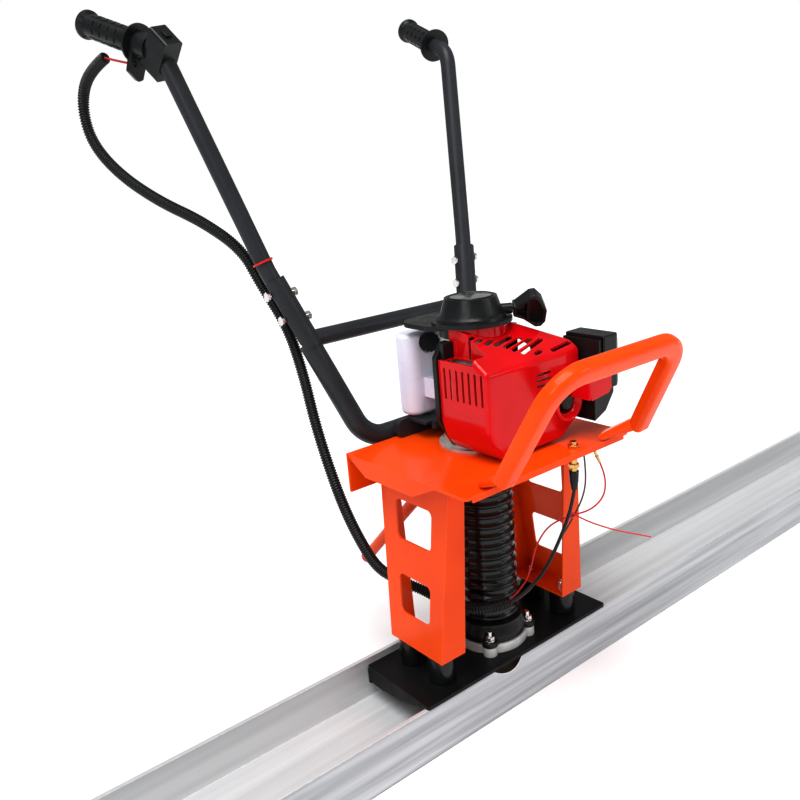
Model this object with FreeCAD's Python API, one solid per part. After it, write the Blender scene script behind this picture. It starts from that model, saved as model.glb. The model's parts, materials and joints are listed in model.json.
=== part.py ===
import FreeCAD, Part
import math
import os

V = FreeCAD.Vector
UP = V(0, 0, 1)
RIGHT = V(1, 0, 0)
BACK = V(0, 1, 0)

# ---- driving dimensions, millimetres --------------------------------------------------
# The origin is on the ground under the engine's crank axis. +X runs along the blade,
# +Y points back to the operator, +Z is up.

BLADE_LENGTH = 2500
BLADE_FRONT = -97
BLADE_REAR = 76
WALL = 3
RIDGE_TOP = 52
RIM_TOP = 68
PIT_RADIUS = 60
SCALLOP_RADIUS = 76
SCALLOP_X = -34

PLATE_HALF_X = 190
PLATE_HALF_Y = 71.5
PLATE_T = 5
PLATE_TOP = RIDGE_TOP + PLATE_T

POT_RADIUS = 56
POT_FLOOR = 8
POT_WALL = 12
STUD_LOW = 30
LUG_CIRCLE = 57
BELLOWS_LOW = 100
BELLOWS_RADIUS = 46
BELLOWS_RIBS = 14

MOUNT_X = 130
MOUNT_Y = 33
MOUNT_RADIUS = 20
COLUMN_LOW = 98
DECK_TOP = 380
SHEET = 3
DECK_T = 4
DECK_UNDER = DECK_TOP - DECK_T
DECK_HALF_X = 160.5
DECK_FRONT = -144.5
DECK_REAR = 112
REAR_FLANGE_LOW = 320
ENGINE_BOLT_REACH = 39

LOWER_TUBE = 16
UPPER_TUBE = 12.7
BAR_WALL = 2.5
CUP_OUTER = 17.5
CUP_INNER = 13.1

SHAFT_RADIUS = 8
CRANK_RADIUS = 7
RUN_CLEAR = 0.05
DRUM_LOW = 392

CONDUIT_RADIUS = 8.5
CABLE_RADIUS = 2.5
WIRE_RADIUS = 1.2
LEAD_RADIUS = 1.6

SNUG = 0.02
HOLE_RADIUS = 4.2


# ---- small helpers --------------------------------------------------------------------

def box(x0, x1, y0, y1, z0, z1):
    return Part.makeBox(x1 - x0, y1 - y0, z1 - z0, V(x0, y0, z0))


def rod(radius, start, end):
    along = end - start
    return Part.makeCylinder(radius, along.Length, start, along)


def disc(radius, z0, z1, x=0, y=0):
    return Part.makeCylinder(radius, z1 - z0, V(x, y, z0))


def ring(outer, inner, z0, z1, x=0, y=0):
    return disc(outer, z0, z1, x, y).cut(disc(inner, z0 - 1, z1 + 1, x, y))


def face_of(points):
    return Part.Face(Part.makePolygon(points + [points[0]]))


def prism(points, along):
    return face_of(points).extrude(along)


def revolve(profile):
    """Turns (radius, height) points about the Z axis."""
    return face_of([V(r, 0, z) for r, z in profile]).revolve(V(0, 0, 0), UP, 360)


def fuse(pieces):
    whole = pieces[0].multiFuse(pieces[1:]) if len(pieces) > 1 else pieces[0]
    return whole.removeSplitter()


def group(pieces):
    return Part.makeCompound(pieces)


def mirror_x(shape):
    return shape.mirror(V(0, 0, 0), RIGHT)


def turned(shape, centre, axis, degrees):
    copy = shape.copy()
    copy.rotate(centre, axis, degrees)
    return copy


def aimed(shape, point, direction):
    """Moves a shape made along +Z at the origin so that it points along direction."""
    copy = shape.copy()
    turn = FreeCAD.Rotation(UP, direction)
    copy.Placement = FreeCAD.Placement(point, turn).multiply(copy.Placement)
    return copy


def placed(shape, origin, first, last):
    """Moves a shape drawn at the origin so that its X points along first and its Z along last."""
    middle = last.cross(first)
    matrix = FreeCAD.Matrix(first.x, middle.x, last.x, origin.x,
                            first.y, middle.y, last.y, origin.y,
                            first.z, middle.z, last.z, origin.z, 0, 0, 0, 1)
    copy = shape.copy()
    copy.Placement = FreeCAD.Placement(matrix).multiply(copy.Placement)
    return copy


def rounded(shape, radius, chosen):
    """Rounds the edges for which chosen(edge) is true."""
    edges = [edge for edge in shape.Edges if chosen(edge)]
    return shape.makeFillet(radius, edges)


def runs_along(edge, axis):
    if edge.Curve.TypeId != "Part::GeomLine":
        return False
    return abs(edge.tangentAt(edge.FirstParameter).dot(axis)) > 0.999


def rounded_block(x0, x1, y0, y1, z0, z1, radius, axis):
    return rounded(box(x0, x1, y0, y1, z0, z1), radius, lambda edge: runs_along(edge, axis))


def round_path(points, radius_at):
    """A wire of straight runs joined by tangent arcs. radius_at(half_turn, run) gives each arc."""
    edges = []
    radii = []
    start = points[0]
    for i in range(1, len(points) - 1):
        before = points[i] - points[i - 1]
        after = points[i + 1] - points[i]
        half_turn = before.getAngle(after) / 2
        radius = radius_at(half_turn, min(before.Length, after.Length))
        reach = radius * math.tan(half_turn)
        into = V(before).normalize()
        out = V(after).normalize()
        arc_start = points[i] - into * reach
        arc_end = points[i] + out * reach
        inward = (out - into).normalize()
        middle = points[i] + inward * radius * (1 / math.cos(half_turn) - 1)
        edges.append(Part.LineSegment(start, arc_start).toShape())
        edges.append(Part.Arc(arc_start, middle, arc_end).toShape())
        radii.append(radius)
        start = arc_end
    edges.append(Part.LineSegment(start, points[-1]).toShape())
    return Part.Wire(edges), radii


def tube_on(wire, first_run, radius):
    start = wire.Edges[0].Vertexes[0].Point
    circle = Part.Wire(Part.Circle(start, first_run, radius).toShape())
    return wire.makePipeShell([circle], True, False)


def bent_tube(points, outer, inner, bend):
    wire = round_path(points, lambda half_turn, run: bend)[0]
    first_run = points[1] - points[0]
    solid = tube_on(wire, first_run, outer)
    return solid.cut(tube_on(wire, first_run, inner)) if inner else solid


def cord(name, points, radius):
    """A cord's tube, each arc as large as 0.45 of its shorter run allows."""
    wire, radii = round_path(points, lambda half_turn, run: 0.45 * run / math.tan(half_turn))
    tube = tube_on(wire, points[1] - points[0], radius)
    share = tube.Volume / (math.pi * radius ** 2 * wire.Length)
    print(name, "length %.0f" % wire.Length, "volume ratio %.4f" % share,
          "radii", " ".join("%.0f" % r for r in radii))
    return tube


def hexagon(across_flats, height, point, direction):
    corner = across_flats / math.sqrt(3)
    turns = [math.radians(60 * k) for k in range(6)]
    nut = prism([V(corner * math.cos(a), corner * math.sin(a), 0) for a in turns], V(0, 0, height))
    return aimed(nut, point, direction)


def bolt(radius, point, direction, length, head=4.5, nut=5.5):
    """A bolt with its head at point, its shank along direction and a nut at the far end."""
    way = V(direction).normalize()
    flats = radius * 3.2
    shank = rod(radius, point - way * 0.5, point + way * (length + nut + 2))
    far_nut = hexagon(flats, nut, point + way * length, way)
    return fuse([hexagon(flats, head, point - way * head, way), shank, far_nut])


# ---- screed blade and base ------------------------------------------------------------

def blade():
    half = BLADE_LENGTH / 2
    outline = [(BLADE_FRONT, 0), (BLADE_REAR, 0), (BLADE_REAR, 62), (78.5, 64), (78.5, RIM_TOP),
               (72.2, RIM_TOP), (72.2, 64), (73, 62), (73, WALL), (-34, WALL),
               (-63.5, RIDGE_TOP), (-70, RIDGE_TOP), (-98.5, 4), (-98.5, 1.5)]
    hollow = [(-93, WALL), (-38, WALL), (-65, 48), (-67.6, 48)]
    start = V(-half, 0, 0)
    along = V(BLADE_LENGTH, 0, 0)
    body = prism([start + V(0, y, z) for y, z in outline], along)
    body = body.cut(prism([start + V(0, y, z) for y, z in hollow], along))
    pit = disc(PIT_RADIUS, WALL + 1, RIM_TOP)
    scallop = disc(SCALLOP_RADIUS, WALL + 1, RIM_TOP, SCALLOP_X, 0).cut(box(-200, 200, 0, 100, 0, 80))
    return body.cut(pit.cut(box(-100, 100, 62, 100, 0, 80))).cut(scallop)


def base_plate():
    underside = PLATE_TOP - PLATE_T
    plate = box(-PLATE_HALF_X, PLATE_HALF_X, -PLATE_HALF_Y, PLATE_HALF_Y, underside, PLATE_TOP)
    plate = rounded(plate, 4, lambda edge: runs_along(edge, UP))
    hook = box(-PLATE_HALF_X, PLATE_HALF_X, 66.5, PLATE_HALF_Y, 28, underside)
    side = [(-58, underside), (-25, 40), (-12, 36), (40, 30), (60, 30), (66.5, 34), (66.5, underside)]
    gusset_t = 4
    gusset = prism([V(-PLATE_HALF_X, y, z) for y, z in side], V(gusset_t, 0, 0))
    whole = fuse([plate, hook, gusset, mirror_x(gusset)])
    for x, y in lug_places():
        whole = whole.cut(disc(4.5, 0, 90, x, y))
    return whole.cut(disc(30, 0, 90))


def lug_places():
    reach = LUG_CIRCLE * math.cos(math.radians(45))
    return [(sx * reach, sy * reach) for sx in (-1, 1) for sy in (-1, 1)]


def lugged_plate(radius, lug_radius, z0, z1, bore):
    """A round plate with four ears on the diagonals, drilled for the flange bolts."""
    body = fuse([disc(radius, z0, z1)] + [disc(lug_radius, z0, z1, x, y) for x, y in lug_places()])
    for x, y in lug_places():
        body = body.cut(disc(HOLE_RADIUS, z0 - 1, z1 + 1, x, y))
    return body.cut(disc(bore, z0 - 1, z1 + 1))


def exciter_housing():
    pot = ring(POT_RADIUS, POT_RADIUS - POT_WALL, POT_FLOOR, RIDGE_TOP)
    floor = disc(POT_RADIUS, POT_FLOOR, POT_FLOOR + 4)
    seat = ring(18, 13, POT_FLOOR + 4, POT_FLOOR + 12)
    flange = lugged_plate(52, 8, 44, RIDGE_TOP, POT_RADIUS - POT_WALL)
    body = fuse([pot, floor, seat, flange])
    for x, y in lug_places():
        body = body.cut(disc(4.02, STUD_LOW - 0.1, RIDGE_TOP + 1, x, y))
    return body


def exciter_flange():
    web = lugged_plate(56, 10.5, PLATE_TOP, 66, 13)
    neck = ring(24, 13, 66, 74)
    rim = ring(56, 46, 66, 71)
    ears = [disc(10.5, 66, 73, x, y) for x, y in lug_places()]
    body = fuse([web, neck, rim] + ears)
    for x, y in lug_places():
        body = body.cut(disc(HOLE_RADIUS, 50, 80, x, y))
    return body


def bellows_clamp():
    plate = lugged_plate(54, 12, 73, 80, 42)
    cone = revolve([(42, 80), (55, 80), (55, 84), (50, 97), (50, BELLOWS_LOW), (42, BELLOWS_LOW)])
    body = fuse([plate, cone])
    for x, y in lug_places():
        body = body.cut(disc(8.5, 80, 90, x, y))
    return body


def flange_bolts():
    bolts = []
    for x, y in lug_places():
        shank = disc(4, STUD_LOW, 96, x, y)
        washer = disc(8, 80, 81.6, x, y)
        nut = hexagon(13, 6.5, V(x, y, 81.6), UP)
        bolts.append(fuse([shank, washer, nut]))
    return group(bolts)


def bellows():
    """A ribbed rubber sleeve around the drive shaft, from the clamp up to the deck."""
    pitch = (DECK_UNDER - 8 - BELLOWS_LOW) / BELLOWS_RIBS
    outer = [(BELLOWS_RADIUS - 4, BELLOWS_LOW)]
    for k in range(BELLOWS_RIBS):
        low = BELLOWS_LOW + k * pitch
        outer += [(BELLOWS_RADIUS - 3, low), (BELLOWS_RADIUS, low + 0.3 * pitch),
                  (BELLOWS_RADIUS, low + 0.7 * pitch)]
    top = DECK_UNDER - 8
    outer += [(BELLOWS_RADIUS - 3, top), (52, top), (52, DECK_UNDER)]
    inner = [(39, DECK_UNDER), (39, BELLOWS_LOW)]
    return revolve(outer + inner)


def rubber_mounts():
    mounts = []
    for sx in (-1, 1):
        for sy in (-1, 1):
            x, y = sx * MOUNT_X, sy * MOUNT_Y
            body = disc(MOUNT_RADIUS, PLATE_TOP, COLUMN_LOW, x, y)
            mounts.append(body.makeFillet(2.5, body.Edges[:1] + body.Edges[2:]))
    return group(mounts)


# ---- columns and deck -----------------------------------------------------------------

def column_shell(low, high, out_low, out_high, in_low, in_high, deep_low, deep_high):
    """A loft between two rectangles that open towards the exciter."""
    def rectangle(z, x0, x1, y):
        corners = [V(x0, -y, z), V(x1, -y, z), V(x1, y, z), V(x0, y, z)]
        return Part.makePolygon(corners + corners[:1])
    wires = [rectangle(low, in_low, out_low, deep_low), rectangle(high, in_high, out_high, deep_high)]
    return Part.makeLoft(wires, True, True)


def rounded_window(z0, z1, y_low, y_high):
    corners = [V(90, -y_low, z0), V(90, y_low, z0), V(90, y_high, z1), V(90, -y_high, z1)]
    opening = prism(corners, V(80, 0, 0))
    return rounded(opening, 9, lambda edge: runs_along(edge, RIGHT))


def column_right():
    outside = column_shell(COLUMN_LOW, DECK_UNDER, 149.5, 128, 104.5, 100, 57.5, 75.4)
    inside = column_shell(COLUMN_LOW + SHEET, DECK_UNDER - SHEET, 146.3, 125.2, 90, 90, 54.7, 72.2)
    body = outside.cut(inside)
    body = body.cut(rounded_window(147, 208, 32, 35)).cut(rounded_window(262, 322, 37, 40))
    for sy in (-1, 1):
        body = body.cut(disc(4.5, COLUMN_LOW - 1, COLUMN_LOW + SHEET + 1, MOUNT_X, sy * MOUNT_Y))
    return body


def deck():
    """The engine deck: a folded sheet with a deep rear flange and tapered side lips."""
    plate = box(-DECK_HALF_X, DECK_HALF_X, DECK_FRONT, DECK_REAR, DECK_UNDER, DECK_TOP)
    plate = rounded(plate, 6, lambda edge: runs_along(edge, UP) and edge.CenterOfMass.y < 0)
    rear = box(-DECK_HALF_X, DECK_HALF_X, DECK_REAR - DECK_T, DECK_REAR, REAR_FLANGE_LOW, DECK_UNDER)
    lip = [(-85, DECK_UNDER), (-36, 353), (68, 353), (DECK_REAR - DECK_T, DECK_UNDER)]
    side = prism([V(DECK_HALF_X - DECK_T, y, z) for y, z in lip], V(DECK_T, 0, 0))
    front = box(-148, 148, DECK_FRONT, DECK_FRONT + SHEET, DECK_UNDER - 5, DECK_UNDER)
    body = fuse([plate, rear, side, mirror_x(side), front])
    body = body.cut(disc(36, 0, 500))
    body = body.cut(disc(5.2, 300, 400, ADJUSTER.x, ADJUSTER.y))
    for x, y in engine_bolt_places():
        body = body.cut(disc(3.2, 300, 400, x, y))
    return body


def engine_bolt_places():
    reach = ENGINE_BOLT_REACH
    return [(sx * reach, sy * reach) for sx in (-1, 1) for sy in (-1, 1)]


# ---- front lifting handle -------------------------------------------------------------

def front_handle():
    """A flattened tube bent into a loop that leans forward from the deck's front corners."""
    foot = V(131, -182, 404)
    top = V(114, -257, 538)
    root = V(113, -138, 390)
    corners = [V(-foot.x, foot.y, foot.z), V(-top.x, top.y, top.z), V(top), V(foot)]
    wire = round_path(corners, lambda half_turn, run: 46)[0]
    rise = (top - foot).normalize()
    normal = V(0, top.y - foot.y, top.z - foot.z).cross(RIGHT).normalize()
    first = (corners[1] - corners[0]).normalize()
    section = flat_oval(corners[0], first, normal, 34, 21)
    loop = sweep_flat(wire, section, normal)
    pieces = [loop]
    for sx in (-1, 1):
        start = V(sx * root.x, root.y, root.z)
        end = V(sx * (foot.x + rise.x * 6), foot.y + rise.y * 6, foot.z + rise.z * 6)
        pieces.append(rod(10, start, end))
        pieces.append(Part.makeSphere(10, end))
    return fuse(pieces)


def flat_oval(centre, along, normal, width, thick):
    """A stadium-shaped outline, width across the loop's plane, thick along the normal."""
    side = along.cross(normal).normalize()
    half = (width - thick) / 2
    radius = thick / 2
    near, far = centre - side * half, centre + side * half
    up = normal * radius
    edges = [Part.LineSegment(near + up, far + up).toShape(),
             Part.Arc(far + up, far + side * radius, far - up).toShape(),
             Part.LineSegment(far - up, near - up).toShape(),
             Part.Arc(near - up, near - side * radius, near + up).toShape()]
    return Part.Wire(edges)


def sweep_flat(wire, section, normal):
    maker = Part.BRepOffsetAPI.MakePipeShell(wire)
    maker.setBiNormalMode(normal)
    maker.add(section)
    maker.build()
    maker.makeSolid()
    return maker.shape()


# ---- handlebars -----------------------------------------------------------------------

LOWER_BEND = V(-110, 130, 383)
JOINT = V(-181, 207, 610)
UPPER_BEND = V(-262, 307, 951)
GRIP_END = V(-303, 458, 1010)
ALONG = (JOINT - LOWER_BEND).normalize()
CUP_START = LOWER_BEND + ALONG * 168
CUP_END = JOINT + ALONG * 22
BAR_START = CUP_START + ALONG * 4
BAR_KINK = CUP_END + ALONG * 16
GRIP_WAY = (GRIP_END - UPPER_BEND).normalize()
GRIP_LENGTH = 118
BEND_RADIUS = 50
LOWER_BEND_RADIUS = 48
CROSSBAR_HEIGHT = 541
CUP_TURN = 200
GRIP_FLANGE = GRIP_END - GRIP_WAY * (GRIP_LENGTH + 0.4)
CONTROL_DOWN = (GRIP_WAY * GRIP_WAY.z - UP).normalize()
BAR_WAY = (UPPER_BEND - BAR_KINK).normalize()
BLOCK_WAY = (GRIP_WAY + BAR_WAY).normalize()
BLOCK_DOWN = (GRIP_WAY - BAR_WAY).normalize()
LEVER_LOW = -8.4
LEVER_HIGH = -0.4


def handle_frame():
    """The welded lower frame: a bent tube whose ends open into half-shell cups."""
    right_bend = V(-LOWER_BEND.x, LOWER_BEND.y, LOWER_BEND.z)
    right_start = V(-CUP_START.x, CUP_START.y, CUP_START.z)
    corners = [CUP_START, LOWER_BEND, right_bend, right_start]
    tube = bent_tube(corners, LOWER_TUBE, LOWER_TUBE - BAR_WALL, LOWER_BEND_RADIUS)
    length = (CUP_END - CUP_START).Length
    shell = ring(CUP_OUTER, CUP_INNER, 0, length).cut(box(-30, 30, -30, 0, -1, length + 1))
    cup = aimed(turned(shell, V(0, 0, 0), UP, CUP_TURN), CUP_START, ALONG)
    web = aimed(disc(CUP_OUTER, -6, 0), CUP_START, ALONG)
    for point in bar_bolt_points():
        cup = cup.cut(rod(HOLE_RADIUS, point - RIGHT * 40, point + RIGHT * 40))
    return fuse([tube, cup, web, mirror_x(cup), mirror_x(web)])


def bar_bolt_points():
    return [JOINT, JOINT - ALONG * 40]


def crossbar():
    share = (CROSSBAR_HEIGHT - LOWER_BEND.z) / (JOINT.z - LOWER_BEND.z)
    left = LOWER_BEND + (JOINT - LOWER_BEND) * share - RIGHT * 2
    right = V(-left.x, left.y, left.z)
    bar = rod(UPPER_TUBE, left, right)
    bore = rod(UPPER_TUBE - 2, left - RIGHT, right + RIGHT)
    bar = bar.cut(bore)
    legs = rod(LOWER_TUBE + SNUG, LOWER_BEND, CUP_END)
    shell = rod(CUP_OUTER + SNUG, CUP_START - ALONG * 6, CUP_END)
    both = fuse([legs, shell])
    return bar.cut(both).cut(mirror_x(both))


def upper_bar_wire():
    points = [BAR_START, BAR_KINK, UPPER_BEND, GRIP_END - GRIP_WAY * 2]
    return round_path(points, lambda half_turn, run: BEND_RADIUS)[0]


def upper_bar():
    """One bar from the cup, round the top bend and through the grip."""
    wire = upper_bar_wire()
    first_run = BAR_KINK - BAR_START
    bar = tube_on(wire, first_run, UPPER_TUBE).cut(tube_on(wire, first_run, UPPER_TUBE - BAR_WALL))
    for point in bar_bolt_points():
        bar = bar.cut(rod(HOLE_RADIUS, point - RIGHT * 40, point + RIGHT * 40))
    return bar


def frame_bolts():
    """Every bolt of the frame: bar joints, mount nuts and the blade's rear wall."""
    bolts = []
    for sx in (-1, 1):
        for point in bar_bolt_points():
            bolts.append(bolt(4, V(-20, 0, 0) + V(sx * point.x, point.y, point.z), RIGHT, 40))
        for sy in (-1, 1):
            low = COLUMN_LOW + SHEET
            stud = disc(4, COLUMN_LOW, low + 12, sx * MOUNT_X, sy * MOUNT_Y)
            nut = hexagon(14, 7, V(sx * MOUNT_X, sy * MOUNT_Y, low), UP)
            bolts.append(fuse([stud, nut]))
        for x in (60, 150):
            bolts.append(hexagon(13, 5, V(sx * x, BLADE_REAR, 42), BACK))
    return group(bolts)


def grip():
    """A rubber grip with a wide inner flange and a flared, closed outer end."""
    inner = UPPER_TUBE + SNUG
    profile = [(inner, 0), (27, 0), (27, 3), (19, 5), (16.5, 8), (16.5, GRIP_LENGTH - 10),
               (20.5, GRIP_LENGTH - 5), (20.5, GRIP_LENGTH - 1), (18, GRIP_LENGTH + 2),
               (0, GRIP_LENGTH + 2), (0, GRIP_LENGTH - 1.9), (inner, GRIP_LENGTH - 1.9)]
    sleeve = revolve(profile)
    pads = []
    for row in range(5):
        for k in range(8):
            pad = box(15, 18, -3.4, 3.4, 16 + row * 17, 29 + row * 17)
            pads.append(turned(pad, V(0, 0, 0), UP, 45 * k))
    sleeve = fuse([sleeve] + [pad.common(disc(17.6, 0, GRIP_LENGTH)) for pad in pads])
    sleeve = sleeve.cut(disc(inner, -1, GRIP_LENGTH - 1.9))
    return aimed(sleeve, GRIP_END - GRIP_WAY * GRIP_LENGTH, GRIP_WAY)


# ---- throttle control on the left bar -------------------------------------------------

def throttle_housing():
    """The switch block over the bar's bend and the round lever housing beside it."""
    drum = placed(disc(18.5, -30, LEVER_LOW - 0.4), GRIP_FLANGE, CONTROL_DOWN, GRIP_WAY)
    block = rounded_block(-29, 33, -14.6, 14.6, -18, 18, 4, UP)
    block = block.cut(box(-30, -22.5, -5.3, 5.3, -6.3, 6.3))
    body = fuse([drum, placed(block, UPPER_BEND, BLOCK_DOWN, BLOCK_WAY)])
    return body.cut(tube_on(upper_bar_wire(), BAR_KINK - BAR_START, UPPER_TUBE + SNUG))


def throttle_lever():
    """A thumb paddle on a ring that turns on the bar, with a slot through it."""
    outline = [(0, 16.5), (36, 19.5), (49.5, 3), (47, -5), (24, -9), (0, -12)]
    paddle = prism([V(x, y, LEVER_LOW) for x, y in outline], UP * (LEVER_HIGH - LEVER_LOW))
    paddle = rounded(paddle, 3, lambda edge: runs_along(edge, UP) and edge.CenterOfMass.x > 1)
    slot = rounded_block(19, 29, 7.5, 12.5, -10, 2, 2.4, UP)
    body = fuse([disc(17, LEVER_LOW, LEVER_HIGH), paddle])
    body = body.cut(disc(UPPER_TUBE + RUN_CLEAR, -10, 2)).cut(slot)
    return placed(body, GRIP_FLANGE, CONTROL_DOWN, GRIP_WAY)


def stop_button():
    """The engine stop button in the block's top, a square plunger."""
    button = rounded_block(-32.5, -25.5, -5, 5, -6, 6, 1.2, RIGHT)
    return placed(button, UPPER_BEND, BLOCK_DOWN, BLOCK_WAY)


# ---- engine: rotating parts -----------------------------------------------------------

CRANK_TOP = 556
FLYWHEEL_LOW = 492
PLUG_START = V(12, -89, 447)
BOSS = V(78, -84, 436)
BOSS_RADIUS = 27
SHROUD_FRONT = -100
SHROUD_REAR = -6
SHROUD_WALL = 2.6
SHELF_EDGE = -46
SHELF_FRONT = -74
COLLAR_OUTER = 50
COLLAR_INNER = 47
TOP_SLOTS = [((-44, -43), (-23, -39)), ((-40, -50), (-8, -45)), ((-29, -57), (4, -49)),
             ((-17, -62), (18, -56)), ((-5, -69), (32, -62)), ((3, -76), (46, -67)),
             ((13, -83), (62, -72)), ((62, -92), (102, -88)), ((31, -90), (43, -88))]
DUCT_Y = -74
RECOIL_FLANGE = 57
PULL = V(0.8, -0.6, 0)
ROPE_EXIT = V(0, 0, 571)
EYE_REACH = 57
DRUM_GROOVE = 28
CAP_WAY = V(-0.55, -0.8, 0.25).normalize()
CAP_RADIUS = 14
CAP_BASE = V(-13.6, 79.8, 520)
PRIMER = V(137, -66, 433)


def drive_shaft():
    """The long shaft from the clutch drum down through the sleeve into the exciter."""
    shaft = disc(SHAFT_RADIUS, POT_FLOOR + 5, DRUM_LOW)
    coupling = ring(16, SHAFT_RADIUS - 1, 150, 178)
    upper = ring(16, SHAFT_RADIUS - 1, 300, 328)
    return fuse([shaft, coupling, upper])


def eccentric_weight():
    """A half-round steel weight pinned to the shaft's lower end."""
    full = disc(38, 26, 40).cut(box(-60, 60, 8, 60, 20, 50))
    hub = disc(14, 26, 40)
    return fuse([full, hub]).cut(disc(SHAFT_RADIUS, 20, 50))


def clutch_drum():
    cup = ring(29, 27, DRUM_LOW + 3, DRUM_LOW + 20)
    floor = disc(29, DRUM_LOW, DRUM_LOW + 3)
    return fuse([cup, floor])


def clutch_shoes():
    """Two centrifugal shoes on the crankshaft's lower end."""
    shoes = ring(26, 12, DRUM_LOW + 5, DRUM_LOW + 17)
    shoes = shoes.cut(box(-2, 2, -40, 40, 300, 500))
    carrier = ring(13, CRANK_RADIUS, DRUM_LOW + 5, DRUM_LOW + 17)
    return fuse([shoes, carrier])


def crankshaft():
    """Main journals, two round webs and the offset crank pin."""
    lower = disc(CRANK_RADIUS, DRUM_LOW + 4, 440)
    upper = disc(CRANK_RADIUS, 466, CRANK_TOP)
    webs = [disc(22, 436, 444), disc(22, 460, 468)]
    pin = disc(6, 444, 460, 0, -13)
    return fuse([lower, upper] + webs + [pin])


def flywheel_fan():
    """The flywheel with its ring of cooling blades."""
    plate = ring(42, CRANK_RADIUS, FLYWHEEL_LOW, FLYWHEEL_LOW + 6)
    hub = ring(14, CRANK_RADIUS, FLYWHEEL_LOW, FLYWHEEL_LOW + 22)
    blade_form = box(22, 41, -1.2, 1.2, FLYWHEEL_LOW + 6, FLYWHEEL_LOW + 20)
    blades = [turned(blade_form, V(0, 0, 0), UP, 22.5 * k) for k in range(16)]
    return fuse([plate, hub] + blades)


def shaft_bearings():
    bearings = []
    for low in (POT_FLOOR + 4, 62):
        bearings.append(ring(13, SHAFT_RADIUS + RUN_CLEAR, low, low + 8))
    for low in (424, 480):
        bearings.append(ring(14, CRANK_RADIUS + RUN_CLEAR, low, low + 8))
    return group(bearings)


# ---- engine: fixed parts --------------------------------------------------------------

def crankcase():
    """The cast crankcase with its mounting flange and clutch housing at the bottom."""
    flange = disc(58, DECK_TOP, DECK_TOP + 3.6)
    bell = disc(50, DECK_TOP + 3, 418)
    case = rounded_block(-39, 39, -42, 52, 418, 488, 10, UP)
    upper = disc(46, 484, 540)
    body = fuse([flange, bell, case, upper])
    body = body.cut(disc(32, DECK_TOP - 1, 414))
    body = body.cut(disc(26, 430, 474))
    body = body.cut(disc(14, 423.9, 432)).cut(disc(14, 474, 488.1))
    body = body.cut(disc(CRANK_RADIUS + 2, 400, 500))
    body = body.cut(disc(43.5, 489, 541))
    body = body.cut(Part.makeCylinder(17, 40, V(0, -10, 452), V(0, -1, 0)))
    for x, y in engine_bolt_places():
        body = body.cut(disc(3.2, 370, 392, x, y))
    return body


def cylinder():
    """The finned cylinder, lying towards the front."""
    low, z = -43, 452
    barrel = Part.makeCylinder(22, 52, V(0, low, z), V(0, -1, 0))
    fins = []
    for k in range(6):
        y = low - 2 - 6 * k
        fins.append(rounded_block(-34, 34, y - 1.6, y, z - 30, z + 30, 6, BACK))
    body = fuse([barrel] + fins)
    body = body.cut(Part.makeCylinder(17, 39, V(0, low + 1, z), V(0, -1, 0)))
    return body.cut(rod(5.02, PLUG_START, PLUG_START + RIGHT * 30))


def spark_plug():
    thread = rod(5, PLUG_START, PLUG_START + RIGHT * 14)
    flats = hexagon(13, 6, PLUG_START + RIGHT * 13, RIGHT)
    terminal = rod(3, PLUG_START, PLUG_START + RIGHT * 27)
    return fuse([thread, flats, terminal])


def plug_boot():
    """An elbow of rubber: its arm covers the plug and its knob faces out through the shroud's boss."""
    start = PLUG_START + RIGHT * 20
    arm = rod(7.5, start, V(BOSS.x - 10, start.y, start.z))
    knob = rod(12, V(BOSS.x, -88, BOSS.z + 1), V(BOSS.x, -104, BOSS.z + 1))
    knob = rounded(knob, 3, lambda edge: edge.CenterOfMass.y < -103)
    body = fuse([arm, knob])
    return body.cut(rod(3.1, start - RIGHT, start + RIGHT * 8))


def muffler():
    """A pressed steel box between the cylinder and the shroud's left side."""
    can = rounded_block(-67, -41, -90, -32, 440, 503, 6, BACK)
    port = box(-41, -35, -64, -46, 444, 464)
    return fuse([can, port])


def muffler_guard():
    """Louvres set in the cover's outlet."""
    rim = box(-68, -48.5, -72, -16, 507, 510)
    body = rim.cut(box(-65, -51.5, -68, -20, 500, 515))
    blades = [box(-65.5, -51, -62 + 10 * k, -60 + 10 * k, 506, 511) for k in range(5)]
    return fuse([body] + blades).cut(disc(COLLAR_OUTER + 0.5, 500, 520))


def shroud_form(inset, rear):
    """The cover's outer form, or its inside when inset by the wall."""
    outline = [V(-47, rear, 384), V(70, rear, 384), V(97, rear, 404), V(112, rear, 430),
               V(112, rear, 553), V(-72, rear, 553), V(-72, rear, 430), V(-64, rear, 404)]
    wire = Part.makePolygon(outline + outline[:1])
    if inset:
        wire = wire.makeOffset2D(-inset)
    body = Part.Face(wire).extrude(V(0, SHROUD_FRONT + inset - rear, 0))
    above = box(-400, 400, -400, 400, -inset, 400)
    body = body.cut(aimed(above, V(0, SHROUD_FRONT, 509), V(0, -0.65, 1)))
    body = body.cut(aimed(above, V(47, -33, 552), V(0.7, 0.245, 1)))
    return body.cut(box(-100, SHELF_EDGE + inset, SHELF_FRONT - inset, rear + 1, 517 - inset, 600))


def slot_through(start, end, width, low, high):
    """A round-ended slot cutter from start to end, upright from low to high."""
    along = V(end[0] - start[0], end[1] - start[1], 0)
    across = UP.cross(along).normalize() * (width / 2)
    first, second = V(start[0], start[1], low), V(end[0], end[1], low)
    middle = prism([first - across, second - across, second + across, first + across], UP * (high - low))
    ends = [disc(width / 2, low, high, x, y) for x, y in (start, end)]
    return fuse([middle] + ends)


def wing():
    """The right-hand panel that stands in front of the air cleaner."""
    cheek = box(84, 112, -139, -98, 442, 478).cut(box(87, 120, -136, -90, 445, 475))
    return fuse([cheek, box(84, 130, -139, -136, 442, 478)])


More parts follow.
